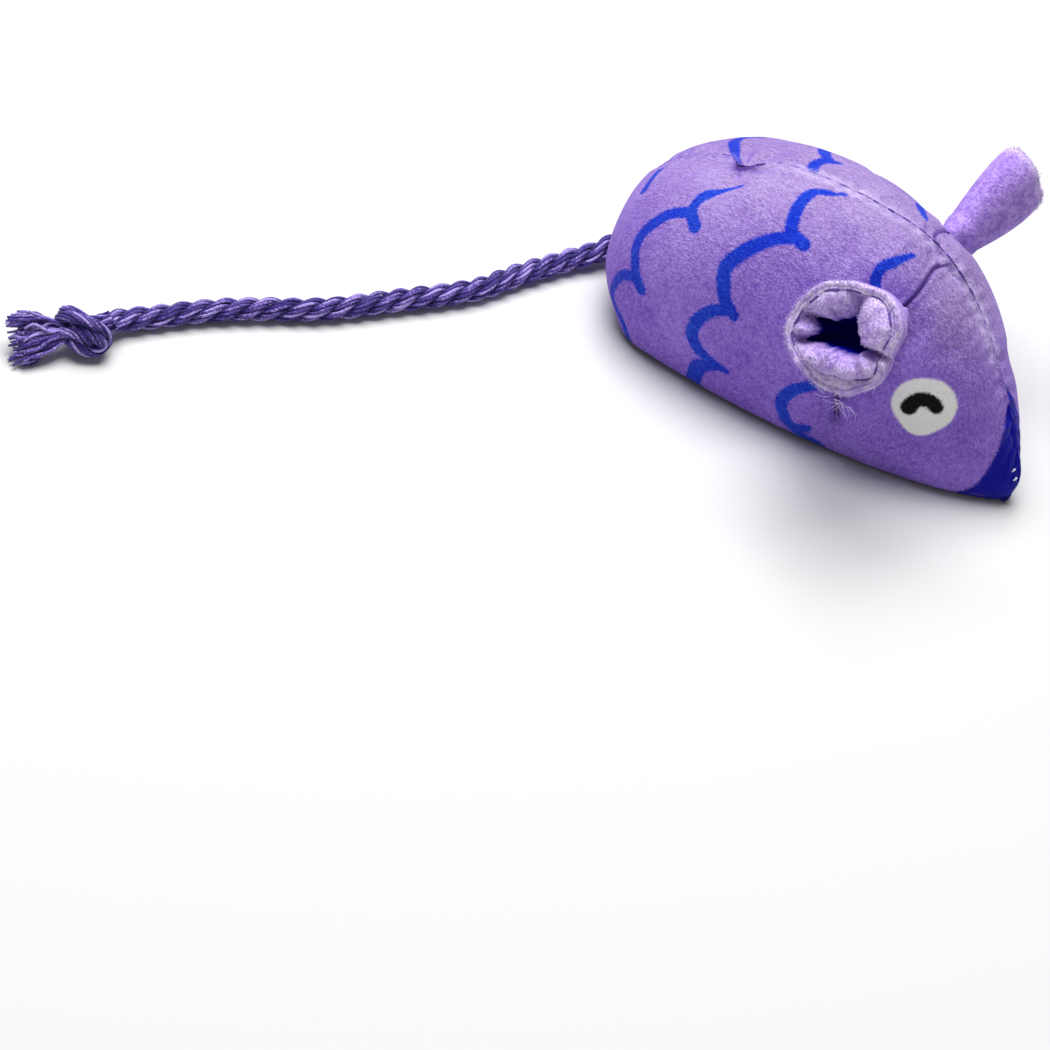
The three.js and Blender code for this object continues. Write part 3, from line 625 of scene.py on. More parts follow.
# Strokes as (share of the length, place up the side), each with its half widths at start, middle and end
SCALLOPS_RIGHT = [
    ([(.268, .848), (.248, .821), (.228, .788), (.214, .750), (.210, .704), (.220, .659), (.240, .614)],
     (.57, 1.25, 1.42)),
    ([(.212, .672), (.177, .646), (.155, .593), (.139, .522), (.140, .456), (.153, .402), (.172, .347),
      (.194, .307)], (1.25, 1.31, 1.25)),
    ([(.176, .345), (.138, .320), (.119, .255), (.116, .176), (.132, .107), (.153, .066), (.169, .011)],
     (1.14, 1.14, .91)),
    ([(.064, .939), (.062, .837), (.068, .719)], (.68, .91, 1.14)),
    ([(.459, .969), (.428, .943), (.404, .910), (.399, .837), (.409, .764), (.425, .712), (.460, .687)],
     (.51, 1.31, 1.37)),
    ([(.440, .700), (.409, .672), (.382, .627), (.358, .567), (.345, .509), (.354, .454), (.372, .399),
      (.400, .360)], (1.25, 1.54, 1.25)),
    ([(.386, .371), (.353, .339), (.332, .284), (.332, .229), (.353, .181), (.380, .157), (.418, .136)],
     (1.25, 1.42, .91)),
    ([(.394, .145), (.361, .097), (.346, .010)], (1.37, 1.71, 1.71)),
    ([(.653, .868), (.631, .792), (.615, .730), (.623, .667), (.64, .62)], (.57, 1.14, 1.25)),
    ([(.620, .27), (.592, .252), (.565, .208), (.548, .141), (.555, .081), (.577, .042), (.608, .058)],
     (1.14, 1.37, 1.03)),
    ([(.582, .036), (.601, .016), (.644, .003)], (1.14, 1.14, .91)),
]
SCALLOPS_LEFT = [
    ([(.216, 1.0), (.187, .985), (.160, .93), (.147, .87), (.150, .81), (.172, .76)], (1.03, 1.25, 1.37)),
    ([(.160, .79), (.130, .75), (.115, .69), (.11, .61), (.12, .54), (.145, .49)], (1.25, 1.31, 1.25)),
    ([(.130, .505), (.10, .46), (.085, .38), (.085, .29), (.10, .22), (.125, .17)], (1.14, 1.25, 1.14)),
    ([(.110, .18), (.092, .12), (.09, .03)], (1.14, 1.14, .91)),
    ([(.062, .9), (.060, .8), (.066, .7)], (.68, .91, 1.14)),
    ([(.363, 1.0), (.348, .952), (.352, .887), (.372, .862)], (1.03, 1.31, 1.37)),
    ([(.362, .87), (.335, .83), (.322, .77), (.325, .71), (.345, .66), (.375, .63)], (1.25, 1.42, 1.25)),
    ([(.354, .645), (.322, .61), (.305, .55), (.303, .48), (.318, .42), (.35, .385)], (1.25, 1.48, 1.25)),
    ([(.329, .40), (.30, .36), (.288, .29), (.295, .22), (.318, .17), (.352, .15)], (1.25, 1.37, 1.03)),
    ([(.332, .155), (.305, .11), (.298, .01)], (1.37, 1.6, 1.6)),
    ([(.614, .905), (.587, .85), (.570, .792), (.575, .73), (.60, .69)], (.57, 1.14, 1.25)),
    ([(.570, .62), (.535, .57), (.525, .49), (.538, .42), (.566, .385)], (1.14, 1.37, 1.14)),
    ([(.550, .395), (.522, .34), (.513, .26), (.527, .19), (.560, .155)], (1.14, 1.37, 1.14)),
    ([(.541, .165), (.520, .10), (.523, .01)], (1.14, 1.37, 1.25)),
]
# How tightly the back seam is drawn along the length: at 1 it gapes to a dark line, darkened by painted
# shade
SEAM_TIGHT = [
    (0, .1), (.205, .1), (.22, 1), (.25, 1), (.268, .1), (.42, .1), (.47, .12), (.5, .3), (.6, .45),
    (.68, .7), (.77, .6), (.79, .3), (.82, .05), (1, .05),
]
EYE_OUTLINE = [
    (.749, .341), (.751, .383), (.761, .429), (.779, .473), (.798, .510), (.817, .542), (.837, .557),
    (.852, .548), (.862, .518), (.864, .466), (.860, .407), (.848, .345), (.832, .294), (.814, .268),
    (.798, .265), (.782, .275), (.767, .292), (.755, .313),
]
EYE_ARCH = (
    [(.784, .350), (.788, .378), (.796, .404), (.809, .426), (.820, .434), (.829, .428)], (1.65, 1.6, 1.4),
)
NOSE_EDGE = [
    (.912, .0), (.930, .06), (.943, .134), (.953, .30), (.956, .45), (.956, .62), (.947, .84), (.936, .96),
    (.930, 1.0),
]
NOSE_LEFT_BACK = 0.02
NOSE_BUTTON_UP = (0.9, 2.6)
NOSE_BUTTON_HIGH = 6.2
NOSE_BUTTON_LONG = 3.0


def swell(along, peak, rear_power, front_power, front_taper):
    """Rises from 0 at the rump to 1 at the peak, and falls to 0 at the nose."""
    rear = np.clip((peak - along) / peak, 0, 1)
    front = np.clip((along - peak) / (1 - peak), 0, 1)
    before = (1 - rear ** rear_power) ** (1 / rear_power)
    return np.where(along < peak, before, (1 - front ** front_power) ** front_taper)


def skin_point(along, place, side):
    """Point of the stuffed skin: along from rump to nose, place from the base seam up to the spine seam."""
    widest = WIDEST_AT / BODY_LENGTH
    half = HALF_WIDTH * swell(along, widest, *WIDTH_SWELL)
    rise = swell(along, HIGHEST_AT / BODY_LENGTH, *HEIGHT_SWELL)
    from_middle = 2 * along - 1
    tip = np.where(from_middle > 0, NOSE_RISE, RUMP_RISE) * np.abs(from_middle) ** 3
    top = SKIN_LOW + (BODY_TOP - SKIN_LOW) * rise + tip * (1 - rise)
    bulge = SKIN_LOW + BULGE_HIGH * (top - SKIN_LOW)
    below = place <= BULGE_PLACE
    low = np.clip(place / BULGE_PLACE, 0, 1)
    turn = np.clip((place - BULGE_PLACE) / (1 - BULGE_PLACE), 0, 1) * np.pi / 2
    over = bulge + (top - bulge) * np.sin(turn) ** SECTION_POWER
    z = np.where(below, SKIN_LOW + (bulge - SKIN_LOW) * low, over)
    out_low = HEM_WIDTH + (1 - HEM_WIDTH) * np.sqrt(1 - (1 - low) ** 2)
    out = half * np.where(below, out_low, np.clip(np.cos(turn), 0, 1) ** SECTION_POWER)
    tuck = np.clip(1 - (z - SKIN_LOW) / RUMP_TUCK_HIGH, 0, 1) * np.clip(1 - along / widest, 0, 1)
    x = (along - 0.5) * BODY_LENGTH + RUMP_TUCK * tuck ** 1.5
    return np.stack([x, side * (SEAM_HALF_GAP + out), z], -1)


def grid_shares(counts):
    """Shares along and up a panel, closer together at the rump, the nose and the darts."""
    at, run, pull = GRID_CROWDED
    even = np.linspace(0, 1, counts[0])
    drawn = even - pull * np.tanh((even - at) / run)
    drawn = (drawn - drawn[0]) / (drawn[-1] - drawn[0])
    return np.meshgrid((1 - np.cos(drawn * np.pi)) / 2, np.linspace(0, 1, counts[1]))


def outward(points, side):
    """Unit normals of a grid of points, away from the inside of the body."""
    normal = np.cross(np.gradient(points, axis=1), np.gradient(points, axis=0)) * -side
    length = np.linalg.norm(normal, axis=-1, keepdims=True)
    plain = np.broadcast_to((0.0, side, 0.0), normal.shape)
    return np.where(length > 1e-9, normal / np.maximum(length, 1e-9), plain)


def way_to(points, line, reach=0.0):
    """Distance in mm from each point of a grid to the nearest point of a line, less its reach there."""
    reach = np.broadcast_to(reach, len(line))
    nearest = np.full(points.shape[:2], np.inf)
    for start in range(0, len(line), 60):
        part = slice(start, start + 60)
        gap = np.linalg.norm(points[:, :, None] - line[None, None, part], axis=-1)
        nearest = np.minimum(nearest, (gap - reach[part]).min(-1))
    return nearest


def to_ear(points, side):
    """Distances in mm to the ear's dart and to its foot; those on the left lie further back."""
    back = (LEFT_DART_BACK if side > 0 else 0, 0)
    gaps = []
    for stretch in (DART_TOP, DART_END):
        line = smooth_line(np.array(stretch) - back, 0.004)
        gaps.append(way_to(points, skin_point(*line.T, side)))
    foot = skin_point(*(np.array([EAR_SEAT]) - back).T, side)
    return np.minimum(*gaps), way_to(points, foot)


def stroke_gap(points, side, stroke, widths):
    """Signed distance in mm to the edge of a brush stroke on the skin, negative inside it."""
    drawn = smooth_line(stroke, 0.004)
    start, middle, end = widths
    half = np.interp(np.linspace(0, 1, len(drawn)), [0, 0.35, 0.75, 1], [start, middle, middle, end])
    return way_to(points, skin_point(*drawn.T, side), half)


def outline_gap(points, side, outline):
    """Signed distance in mm to a closed outline on the skin, negative inside it."""
    line = skin_point(*smooth_line([*outline, outline[0]], 0.003).T, side)
    middle = line.mean(0)
    across = line[0] - middle
    across /= np.linalg.norm(across)
    facing = np.cross(line[0] - middle, line[len(line) // 4] - middle)
    facing /= np.linalg.norm(facing)
    up = np.cross(facing, across)
    flat = np.stack([(points - middle) @ across, (points - middle) @ up], -1)
    edge = np.stack([(line - middle) @ across, (line - middle) @ up], -1)
    angle = np.arctan2(flat[..., 1], flat[..., 0])
    edge_angle = np.arctan2(edge[:, 1], edge[:, 0])
    order = np.argsort(edge_angle)
    reach = np.interp(angle, edge_angle[order], np.linalg.norm(edge, axis=1)[order], period=2 * np.pi)
    gap = np.linalg.norm(flat, axis=-1) - reach
    return np.where(np.abs((points - middle) @ facing) < 8, gap, FAR)


def dent(gap, deep, wide):
    """How deep a soft groove is at a gap from its middle, given its depth there and its half width."""
    return deep * np.exp(-(gap / wide) ** 2)


def spline_weights(coarse, fine):
    """Matrix that spreads values on an even coarse row over a finer row, as a cubic spline does."""
    place = np.linspace(0, coarse - 1, fine)
    base = np.minimum(np.floor(place).astype(int), coarse - 2)
    share = place - base
    pieces = [(1 - share) ** 3, 3 * share ** 3 - 6 * share ** 2 + 4,
              -3 * share ** 3 + 3 * share ** 2 + 3 * share + 1, share ** 3]
    weights = np.zeros((fine, coarse))
    for k, piece in enumerate(pieces):
        np.add.at(weights, (np.arange(fine), np.clip(base + k - 1, 0, coarse - 1)), piece / 6)
    return weights


def blown_up(side):
    """How far a cloth simulation moves the panel, in mm: pressed out, and held at its seams and darts."""
    plain = skin_point(*grid_shares(SIM_GRID), side)
    to_dart, to_foot = to_ear(plain, side)
    held = (to_dart < SIM_HELD[0]) | (to_foot < SIM_HELD[1])
    held[[0, -1]] = True
    held[:, [0, -1]] = True
    loose = np.where(held, 0, SIM_START_IN)[..., None]
    sheet = cloth_grid("panel_before_stuffing", (plain - outward(plain, side) * loose) * SIM_SCALE)
    if side > 0:
        sheet.data.flip_normals()
    pins = sheet.vertex_groups.new(name="seams")
    pins.add(np.flatnonzero(held).tolist(), 1.0, "REPLACE")
    press = sheet.modifiers.new("stuffing_press", "CLOTH")
    for name, setting in SIM_CLOTH.items():
        setattr(press.settings, name, setting)
    press.settings.vertex_group_mass = pins.name
    press.settings.effector_weights.gravity = 0
    for frame_number in range(1, SIM_FRAMES + 1):
        scene.frame_set(frame_number)
    blown = sheet.evaluated_get(bpy.context.evaluated_depsgraph_get()).to_mesh()
    places = np.empty(len(blown.vertices) * 3, np.float32)
    blown.vertices.foreach_get("co", places)
    sheet.to_mesh_clear()
    scene.frame_set(1)
    moved = places.reshape(plain.shape) / (MM * SIM_SCALE) - plain
    bpy.data.objects.remove(sheet)
    length = np.linalg.norm(moved, axis=-1, keepdims=True)
    moved *= np.tanh(length / SIM_CAP) * SIM_CAP / np.maximum(length, 1e-6)
    wide = spline_weights(SIM_GRID[0], FINE_GRID[0])
    tall = spline_weights(SIM_GRID[1], FINE_GRID[1])
    return np.einsum("ij,jkc,lk->ilc", tall, moved, wide)


def thicken(piece, thickness, shares=()):
    """Gives a sheet its thickness behind the face that shows, or a share of it at each point."""
    wall = piece.modifiers.new("thickness", "SOLIDIFY")
    wall.thickness = thickness * MM
    wall.offset = -1
    if len(shares):
        full = piece.vertex_groups.new(name="full_thickness")
        for at, share in enumerate(shares):
            full.add([at], float(share), "REPLACE")
        wall.vertex_group = full.name
    apply_modifiers(piece)


def printed_plush():
    """Short-pile polyester plush with a soft-edged print: a mottled nap, with painted light that makes it
    paler where it faces up.
    """
    material, tree = new_material("printed_short_pile_plush")
    place = node(tree, "TexCoord").outputs["Object"]
    lean = node(tree, "Mapping", {"Vector": place, "Rotation": (0.5, 0.3, 0.6), "Scale": (1, 2.2, 1)})
    # the pile itself is finer than the render shows, so its clumps are drawn at 0.5 and 1.3 mm
    fine = noise(tree, lean, 0.5, 2)
    clumps = noise(tree, lean, 1.3, 2)
    brushed = noise(tree, place, 14, 2)
    nap = maths(tree, "MULTIPLY", fine, 0.55)
    for pattern in (clumps, brushed):
        nap = maths(tree, "MULTIPLY_ADD", pattern, 0.3, nap)
    standing = node(tree, "ValToRGB", {"Fac": nap}, stops=zip(NAP_STOPS, PLUSH_NAP))
    top_lit = node(tree, "ValToRGB", {"Fac": nap}, stops=zip(NAP_STOPS, TOP_LIGHT_NAP))
    # painted light: the paler copy is mixed in where the skin faces up and on the forehead
    painted_top_light = stored(tree, "painted_top_light")
    colour = mix(tree, painted_top_light, standing, top_lit)
    soak = node(tree, "MapRange", {"Value": nap, "From Min": 0.52, "From Max": 0.85})
    blue = mix(tree, soak, PRINT_BLUE, PRINT_BLUE_LIT)
    ragged = maths(tree, "MULTIPLY_ADD", fine, 0.8, -0.4)
    prints = {"scallop": blue, "nose": NOSE_BLUE, "eye_white": EYE_WHITE, "eye_arch": EYE_BLACK}
    for title, ink in prints.items():
        gap = stored(tree, title)
        edge = maths(tree, "ADD", gap, ragged)
        soaked = node(tree, "MapRange", {"Value": edge, "From Min": 0.28, "From Max": -0.28})
        colour = mix(tree, soaked, colour, ink)
    ridge = stored(tree, "ridge")
    lifted = maths(tree, "MULTIPLY", ridge, clumps)
    colour = mix(tree, lifted, colour, PILE_PALE)
    # painted shade: the seams, darts, tuck and closed hole are darkened towards SEAM_SHADE
    crease = stored(tree, "crease")
    colour = mix(tree, crease, colour, SEAM_SHADE)
    height = maths(tree, "ADD", fine, clumps)
    bump = raised(tree, height, 0.8, 0.35)
    surface(tree, {
        "Base Color": colour, "Roughness": 0.9, "Normal": bump, "Specular IOR Level": 0.15,
        "Sheen Weight": 0.2, "Sheen Roughness": 0.4, "Sheen Tint": PILE_SHEEN,
    })
    return material


plush = printed_plush()
panels = {}
for side, title, scallops in ((-1, "right", SCALLOPS_RIGHT), (1, "left", SCALLOPS_LEFT)):
    along, place = grid_shares(FINE_GRID)
    plain = skin_point(along, place, side)
    steps = np.linalg.norm(np.diff(plain, axis=0), axis=-1)
    from_base = np.vstack([np.zeros((1, FINE_GRID[0])), np.cumsum(steps, axis=0)])
    to_spine = from_base[-1:] - from_base
    back = way_along(plain[-1])[None]
    to_dart, to_foot = to_ear(plain, side)
    to_tuck = np.full(plain.shape[:2], FAR)
    if side < 0:
        to_tuck = way_to(plain, skin_point(*np.array(TUCK_LINE).T, side))
    to_slit = way_to(plain, skin_point(np.array([CLOSING_AT]), np.array([1.0]), side))

    # Thread draws the plush in at the seams and darts, and folds fan out from the closed stuffing hole
    gather = np.sin(2 * np.pi * back / PUCKER_EVERY + 1.3 * np.sin(back / 7.0) + side)
    gather += 0.5 * np.sin(2 * np.pi * back / (PUCKER_EVERY * 1.9) + 2 * side)
    tight = np.interp(along, *np.array(SEAM_TIGHT).T)
    tight *= np.where(along > 0.4, 0.6 + 0.4 * np.sin(2 * np.pi * back / SEAM_PULL_EVERY), 1)
    fan = np.arctan2(to_spine, (along - CLOSING_AT) * BODY_LENGTH)
    folds = 0.9 + 0.7 * np.sin(CLOSING_FOLDS * fan + side)
    inset = (0.3 + tight) * dent(to_spine, *SPINE_GROOVE) + dent(to_spine, *SPINE_DIP)
    inset += PUCKER_DEEP * gather * np.exp(-to_spine / PUCKER_RUN) * np.clip(to_spine / PUCKER_FROM, 0, 1)
    inset += dent(from_base, *HEM_GROOVE) + dent(to_dart, *DART_GROOVE) + dent(to_dart, *DART_DIP)
    inset += dent(to_tuck, *TUCK_GROOVE) + dent(to_foot, *EAR_SEAT_DIP)
    inset += dent(to_slit, folds, CLOSING_REACH) * np.clip(to_slit / 2, 0.4, 1)
    half_width = np.abs(plain[..., 1])
    inset = np.minimum(inset, 0.7 * half_width)
    shaped = plain - outward(plain, side) * inset[..., None]
    shaped += blown_up(side) * np.clip((1 - along) / 0.15, 0, 1)[..., None]
    button = dent(plain[..., 2] - NOSE_BUTTON_HIGH, *NOSE_BUTTON_UP)
    shaped[..., 0] += button * dent((1 - along) * BODY_LENGTH, 1, NOSE_BUTTON_LONG)
    shut = np.clip(1 - tight / 0.5, 0, 1) * dent(to_spine, 1, 0.5)
    shaped[..., 1] -= side * shut * np.minimum(SEAM_HALF_GAP, np.abs(shaped[..., 1]))
    shaped[..., 1] -= dent(along - CLOSING_AT, CLOSING_SHIFT, CLOSING_RUN) * dent(to_spine, 1, 9)
    shaped[..., 2] = np.maximum(shaped[..., 2] - dent(from_base, *HEM_DROP), 0.35)
    panels[side] = shaped
    panel = cloth_grid(f"plush_side_{title}", shaped)
    if side > 0:
        panel.data.flip_normals()

    # Print, as the distance to each edge of it, and painted shade in the seams
    store(panel, "scallop", np.min([stroke_gap(plain, side, *stroke) for stroke in scallops], axis=0))
    store(panel, "eye_white", outline_gap(plain, side, EYE_OUTLINE))
    store(panel, "eye_arch", stroke_gap(plain, side, *EYE_ARCH))
    edge_along, edge_place = np.array(NOSE_EDGE).T
    nose_at = np.interp(place, edge_place, edge_along)
    if side > 0:
        nose_at -= NOSE_LEFT_BACK * np.clip(place * 4 - 2.8, 0, 1)
    store(panel, "nose", (nose_at - along) * BODY_LENGTH)
    # painted shade in the back seam, the dart, the tuck and round the closed stuffing hole
    crease = tight * dent(to_spine, *SPINE_SHADE) + dent(to_dart, *DART_SHADE) + dent(to_tuck, *TUCK_SHADE)
    crease += dent(to_slit, *CLOSING_SHADE) * dent(to_spine, 1, 1.5)
    store(panel, "crease", np.clip(crease, 0, 0.95))
    ridge = dent(to_spine - 0.5, 0.8, 0.9) * (1 - tight)
    ridge *= np.clip((0.9 - along) / 0.04, 0, 1) * np.clip((along - 0.1) / 0.25, 0, 1)
    store(panel, "ridge", ridge)
    # painted light: the plush is made paler where it faces up, and on the forehead
    pale_tips_and_top_light = np.clip(outward(shaped, side)[..., 2], 0, 1) ** 1.5
    pale_tips_and_top_light += dent(along - 0.76, 0.4, 0.07) * np.clip(place * 5 - 2.7, 0, 1)
    store(panel, "painted_top_light", pale_tips_and_top_light)
    thicken(panel, PLUSH_THICKNESS, np.clip(half_width / 2.2, 0.03, 1).ravel())
    panel.data.materials.clear()
    panel.data.materials.append(plush)
    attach(panel, "body")
    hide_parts(f"side_panel_{title}")

# Base panel: a flat teardrop of the same plush under both sides, its edge turned up into the seam.
# The mouse stands on it.
BASE_GRID = (161, 61)
BASE_INSET = 2.0
BASE_THICKNESS = 1.35
BASE_ROUND = 1.1
BASE_EDGE_UP = 0.6
BASE_SLACK = 0.12
BASE_SEAM_SHADE = (0.5, 0.8)

along, across = grid_shares(BASE_GRID)
across = 2 * across - 1
rim = skin_point(along, np.zeros_like(along), 1)
half = np.maximum(rim[..., 1] - BASE_INSET, 0.02)
to_edge = (1 - np.abs(across)) * half
turned_up = 1 - np.sqrt(1 - np.clip(1 - to_edge / BASE_ROUND, 0, 1) ** 2)
slack = BASE_SLACK * (1 + np.sin(along * 40) * np.sin(across * 7)) * np.clip(to_edge / 3, 0, 1)
base = cloth_grid("plush_base", np.stack([rim[..., 0], across * half, slack + BASE_EDGE_UP * turned_up], -1))
base.data.flip_normals()
for title in ("scallop", "eye_white", "eye_arch"):
    store(base, title, FAR)
store(base, "nose", (NOSE_EDGE[0][0] - along) * BODY_LENGTH)
# painted shade along the base's edge, where it turns up into the seam
store(base, "crease", dent(to_edge, *BASE_SEAM_SHADE))
store(base, "ridge", 0)
thicken(base, BASE_THICKNESS)
base.data.materials.clear()
base.data.materials.append(plush)
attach(base, "body")
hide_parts("base_panel")

# Sewing threads: a running stitch down in the back seam, ladder stitches where the stuffing hole was closed,
# a running stitch round the base and two white stitches on the nose.
# All but the white ones are twisted polyester of a darker purple than the plush.
THREAD_RADIUS = 0.2
THREAD_SIDES = 6
THREAD_TURN_MM = 0.6
THREAD_PURPLE = "7257b6"
THREAD_DARK = "4a3390"
BODY_MIDDLE = (0, 0, 16.0)
SPINE_STITCH = (2.0, 1.6)
SPINE_SEWN = (0.085, 0.925)
BASE_STITCH = (2.4, 1.0)
BASE_SEWN = (0.03, 0.97, 120)
BASE_SEAM_IN = 0.25
BASE_SEAM_UP = 1.72
CLOSING_ALONG = (0.150, 0.272)
CLOSING_STITCHES = 9
NOSE_STITCHES = [(.9917, .578), (.9953, .456)]
NOSE_STITCH_WAY = (0.2, 0.1, 0.45)
NOSE_STITCH_BOW = (0.12, -0.12, 0)


def faced_out(points):
    """Directions in which stitches face: away from the middle of the body, little of it lengthwise."""
    away = points - np.array(BODY_MIDDLE)
    away[:, 0] *= 0.35
    return away / np.linalg.norm(away, axis=1, keepdims=True)


def running_stitch(line, dash, gap, seed, sink=0.3):
    """Tubes of a running stitch along a line of points; each stitch dips in at its two ends."""
    rng = np.random.default_rng(seed)
    way = way_along(line)
    tubes, start = [], 0.4
    while start + dash * 0.6 < way[-1]:
        stop = min(start + dash * rng.uniform(0.8, 1.25), way[-1])
        places = np.linspace(start, stop, max(6, int((stop - start) / 0.35)))
        points = np.stack([np.interp(places, way, column) for column in line.T], 1)
        share = np.abs(np.linspace(-1, 1, len(places))) ** 6
        points -= share[:, None] * sink * faced_out(points)
        tubes.append((tube_points(points, THREAD_RADIUS, THREAD_SIDES), rng.uniform(0, 1)))
        start = stop + gap * rng.uniform(0.8, 1.2)
    return tubes


def twisted_thread():
    """Twisted polyester sewing thread: a slight shine and a fine diagonal twist along it."""
    material, tree = new_material("twisted_polyester_thread")
    along = stored(tree, "along")
    shade = stored(tree, "shade")
    turns = maths(tree, "MULTIPLY", along, 2 * math.pi / THREAD_TURN_MM)
    twist = maths(tree, "SINE", turns)
    tone = maths(tree, "MULTIPLY_ADD", twist, 0.25, shade)
    tint = mix(tree, tone, THREAD_DARK, THREAD_PURPLE)
    bump = raised(tree, twist, 0.4, 0.08)
    surface(tree, {"Base Color": tint, "Roughness": 0.6, "Normal": bump})
    return material


thread = twisted_thread()
seam = (panels[-1][-1] + panels[1][-1]) / 2
seam_shares = grid_shares(FINE_GRID)[0][0]
sewn = (seam_shares > SPINE_SEWN[0]) & (seam_shares < SPINE_SEWN[1])
pulled = np.interp(seam_shares, *np.array(SEAM_TIGHT).T)[:, None]
spine_line = smooth_line((seam + (0.45 * pulled - 0.2) * faced_out(seam))[sewn][::3], 0.4)
spine_stitches = tubes_piece("spine_stitches", running_stitch(spine_line, *SPINE_STITCH, seed=21))
columns = np.interp(np.linspace(*CLOSING_ALONG, CLOSING_STITCHES), seam_shares, np.arange(FINE_GRID[0]))
ladder = []
for i, column in enumerate(np.round(columns).astype(int)):
    edge = panels[-1 if i % 2 else 1][-3, column]
    ladder.append(edge - 0.3 * faced_out(edge[None])[0])
ladder_tube = tube_points(smooth_line(ladder, 0.3), THREAD_RADIUS, THREAD_SIDES)
closing = tubes_piece("closing_stitches", [(ladder_tube, 0.5)])
sewing = [(spine_stitches, "spine_thread"), (closing, "closing_thread")]
for side, title in ((-1, "right"), (1, "left")):
    hem_along = np.linspace(*BASE_SEWN)
    hem = skin_point(hem_along, 0 * hem_along, side) * (1, 1, 0) + (0, -BASE_SEAM_IN * side, BASE_SEAM_UP)
    tubes = running_stitch(hem, *BASE_STITCH, seed=30 + side, sink=0)
    sewing.append((tubes_piece(f"base_stitches_{title}", tubes), f"base_thread_{title}"))
for piece, solid in sewing:
    piece.data.materials.append(thread)
    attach(piece, "body")
    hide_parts(solid)

nose_tubes = []
for at, up in NOSE_STITCHES:
    column = int(np.abs(seam_shares - at).argmin())
    row = round(up * (FINE_GRID[1] - 1))
    way = np.linspace(-1, 1, 7)[:, None]
    bowed = panels[-1][row, column] + way * NOSE_STITCH_WAY + (1 - way ** 2) * NOSE_STITCH_BOW
    nose_tubes.append((tube_points(bowed, THREAD_RADIUS, THREAD_SIDES), 1.0))
nose_stitches = tubes_piece("nose_stitches", nose_tubes)
white_thread, tree = new_material("white_polyester_thread")
surface(tree, {"Base Color": EYE_WHITE, "Roughness": 0.6})
nose_stitches.data.materials.append(white_thread)
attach(nose_stitches, "body")

# Ears: an outer layer and a paler lining, sewn edge to edge, rolled to a cup and caught in the dart.
# The lining puffs inwards in four folds round the hole, and the rim has a notch on the nose side.
# The left ear is rolled tighter than the right one and sits a little further back.
EAR_RIM = 16.2
EAR_FOOT = {"right": (3.2, 5.0), "left": (4.0, 6.0)}
EAR_FOOT_DOWN = 5.6
EAR_LAYER = 1.2
EAR_SIDES = 216
EAR_LEAN_DEG = {"right": -4, "left": 6}
EAR_NOTCH_DEG = 8
EAR_NOTCH_SHARE = {"right": 1.0, "left": 0.1}
EAR_CURL = {"right": 0.0, "left": 0.13}
EAR_CREASES = {"right": (5, 97, 183, 213), "left": (8, 100, 180, 265)}
EAR_PUFF_RISE = {"right": (2.3, 1.3, 1.7, 3.2), "left": (0.5, 0.5, 0.5, 0.5)}
EAR_PUFF_DROP = {"right": (2.6, 3.6, 2.4, 2.2), "left": (3.2, 3.2, 3.2, 3.2)}

# Cut edge round the mouth and the band from it in to the seam, as (degrees from the nose side, mm)
EAR_ROLLED_HALF = [
    (0, 5.8), (30, 6.4), (45, 7.1), (60, 8.3), (75, 9.5), (90, 10.1), (105, 9.5), (120, 8.3), (135, 7.1),
    (150, 6.4),
]
EAR_EDGE = {
    "right": [
        (5, 9.2), (11, 9.3), (21, 10.4), (34, 11.6), (46, 12.2), (57, 12.5), (68, 12.3), (82, 11.8),
        (98, 11.2), (120, 11.0), (139, 11.0), (155, 11.2), (168, 11.6), (180, 11.9), (191, 12.1),
        (203, 12.1), (211, 12.0), (221, 11.5), (231, 11.0), (248, 10.2), (269, 10.1), (286, 10.1),
        (304, 10.4), (322, 10.5), (340, 10.4), (352, 10.0),
    ],
    "left": [(start + degrees, reach) for start in (0, 180) for degrees, reach in EAR_ROLLED_HALF],
}
EAR_BAND = {
    "right": [
        (25, 1.7), (57, 1.9), (90, 1.7), (126, 1.8), (161, 2.0), (190, 1.9), (215, 1.7), (240, 2.3),
        (265, 2.7), (293, 3.3), (326, 2.3), (350, 1.7),
    ],
    "left": [(0, 1.7), (180, 1.7)],
}

# Edge of the hole between the folds as (degrees round the mouth, share of the mouth)
EAR_HOLE_EDGE = {
    "right": [
        (5, .51), (20, .33), (59, .21), (84, .31), (97, .47), (121, .39), (158, .42), (174, .60), (183, .84),
        (188, .70), (194, .57), (204, .60), (213, .90), (219, .52), (251, .29), (285, .30), (311, .33),
        (352, .43),
    ],
    "left": [(8, .70), (50, .45), (100, .70), (140, .50), (180, .70), (220, .45), (265, .70), (310, .50)],
}
EAR_LINING_FROM = 7
EAR_LINING_END = (7.0, 5.0, 3.6, 3.2)
EAR_BROW_DOWN = 0.55
EAR_ROLL = 1.3
EAR_ROLL_STEPS = 44
EAR_STITCH = (2.7, 1.9)
EAR_PILE = 1600
EAR_PILE_ROWS = 24
EAR_PILE_RADII = (0.06, 0.05, 0.02)
EAR_PILE_REACH = (0.2, 0.55)
EAR_FUZZ = 2600
EAR_FUZZ_RADII = (0.045, 0.04, 0.02)
EAR_FUZZ_REACH = (0.25, 0.9)
EAR_OUT_LILAC = "bf9ff0"
EAR_OUT_SHADE = "9472cc"
EAR_RIM_LILAC = "c4a9ec"
EAR_RIM_PALE = "f0e4ff"
EAR_LINING = "c2a6ec"
EAR_LINING_SHADE = "9676c8"
EAR_SHEEN = "e6dcff"
# dark navy painted where the ear's hole has only shade
EAR_HOLE = "0a0a98"


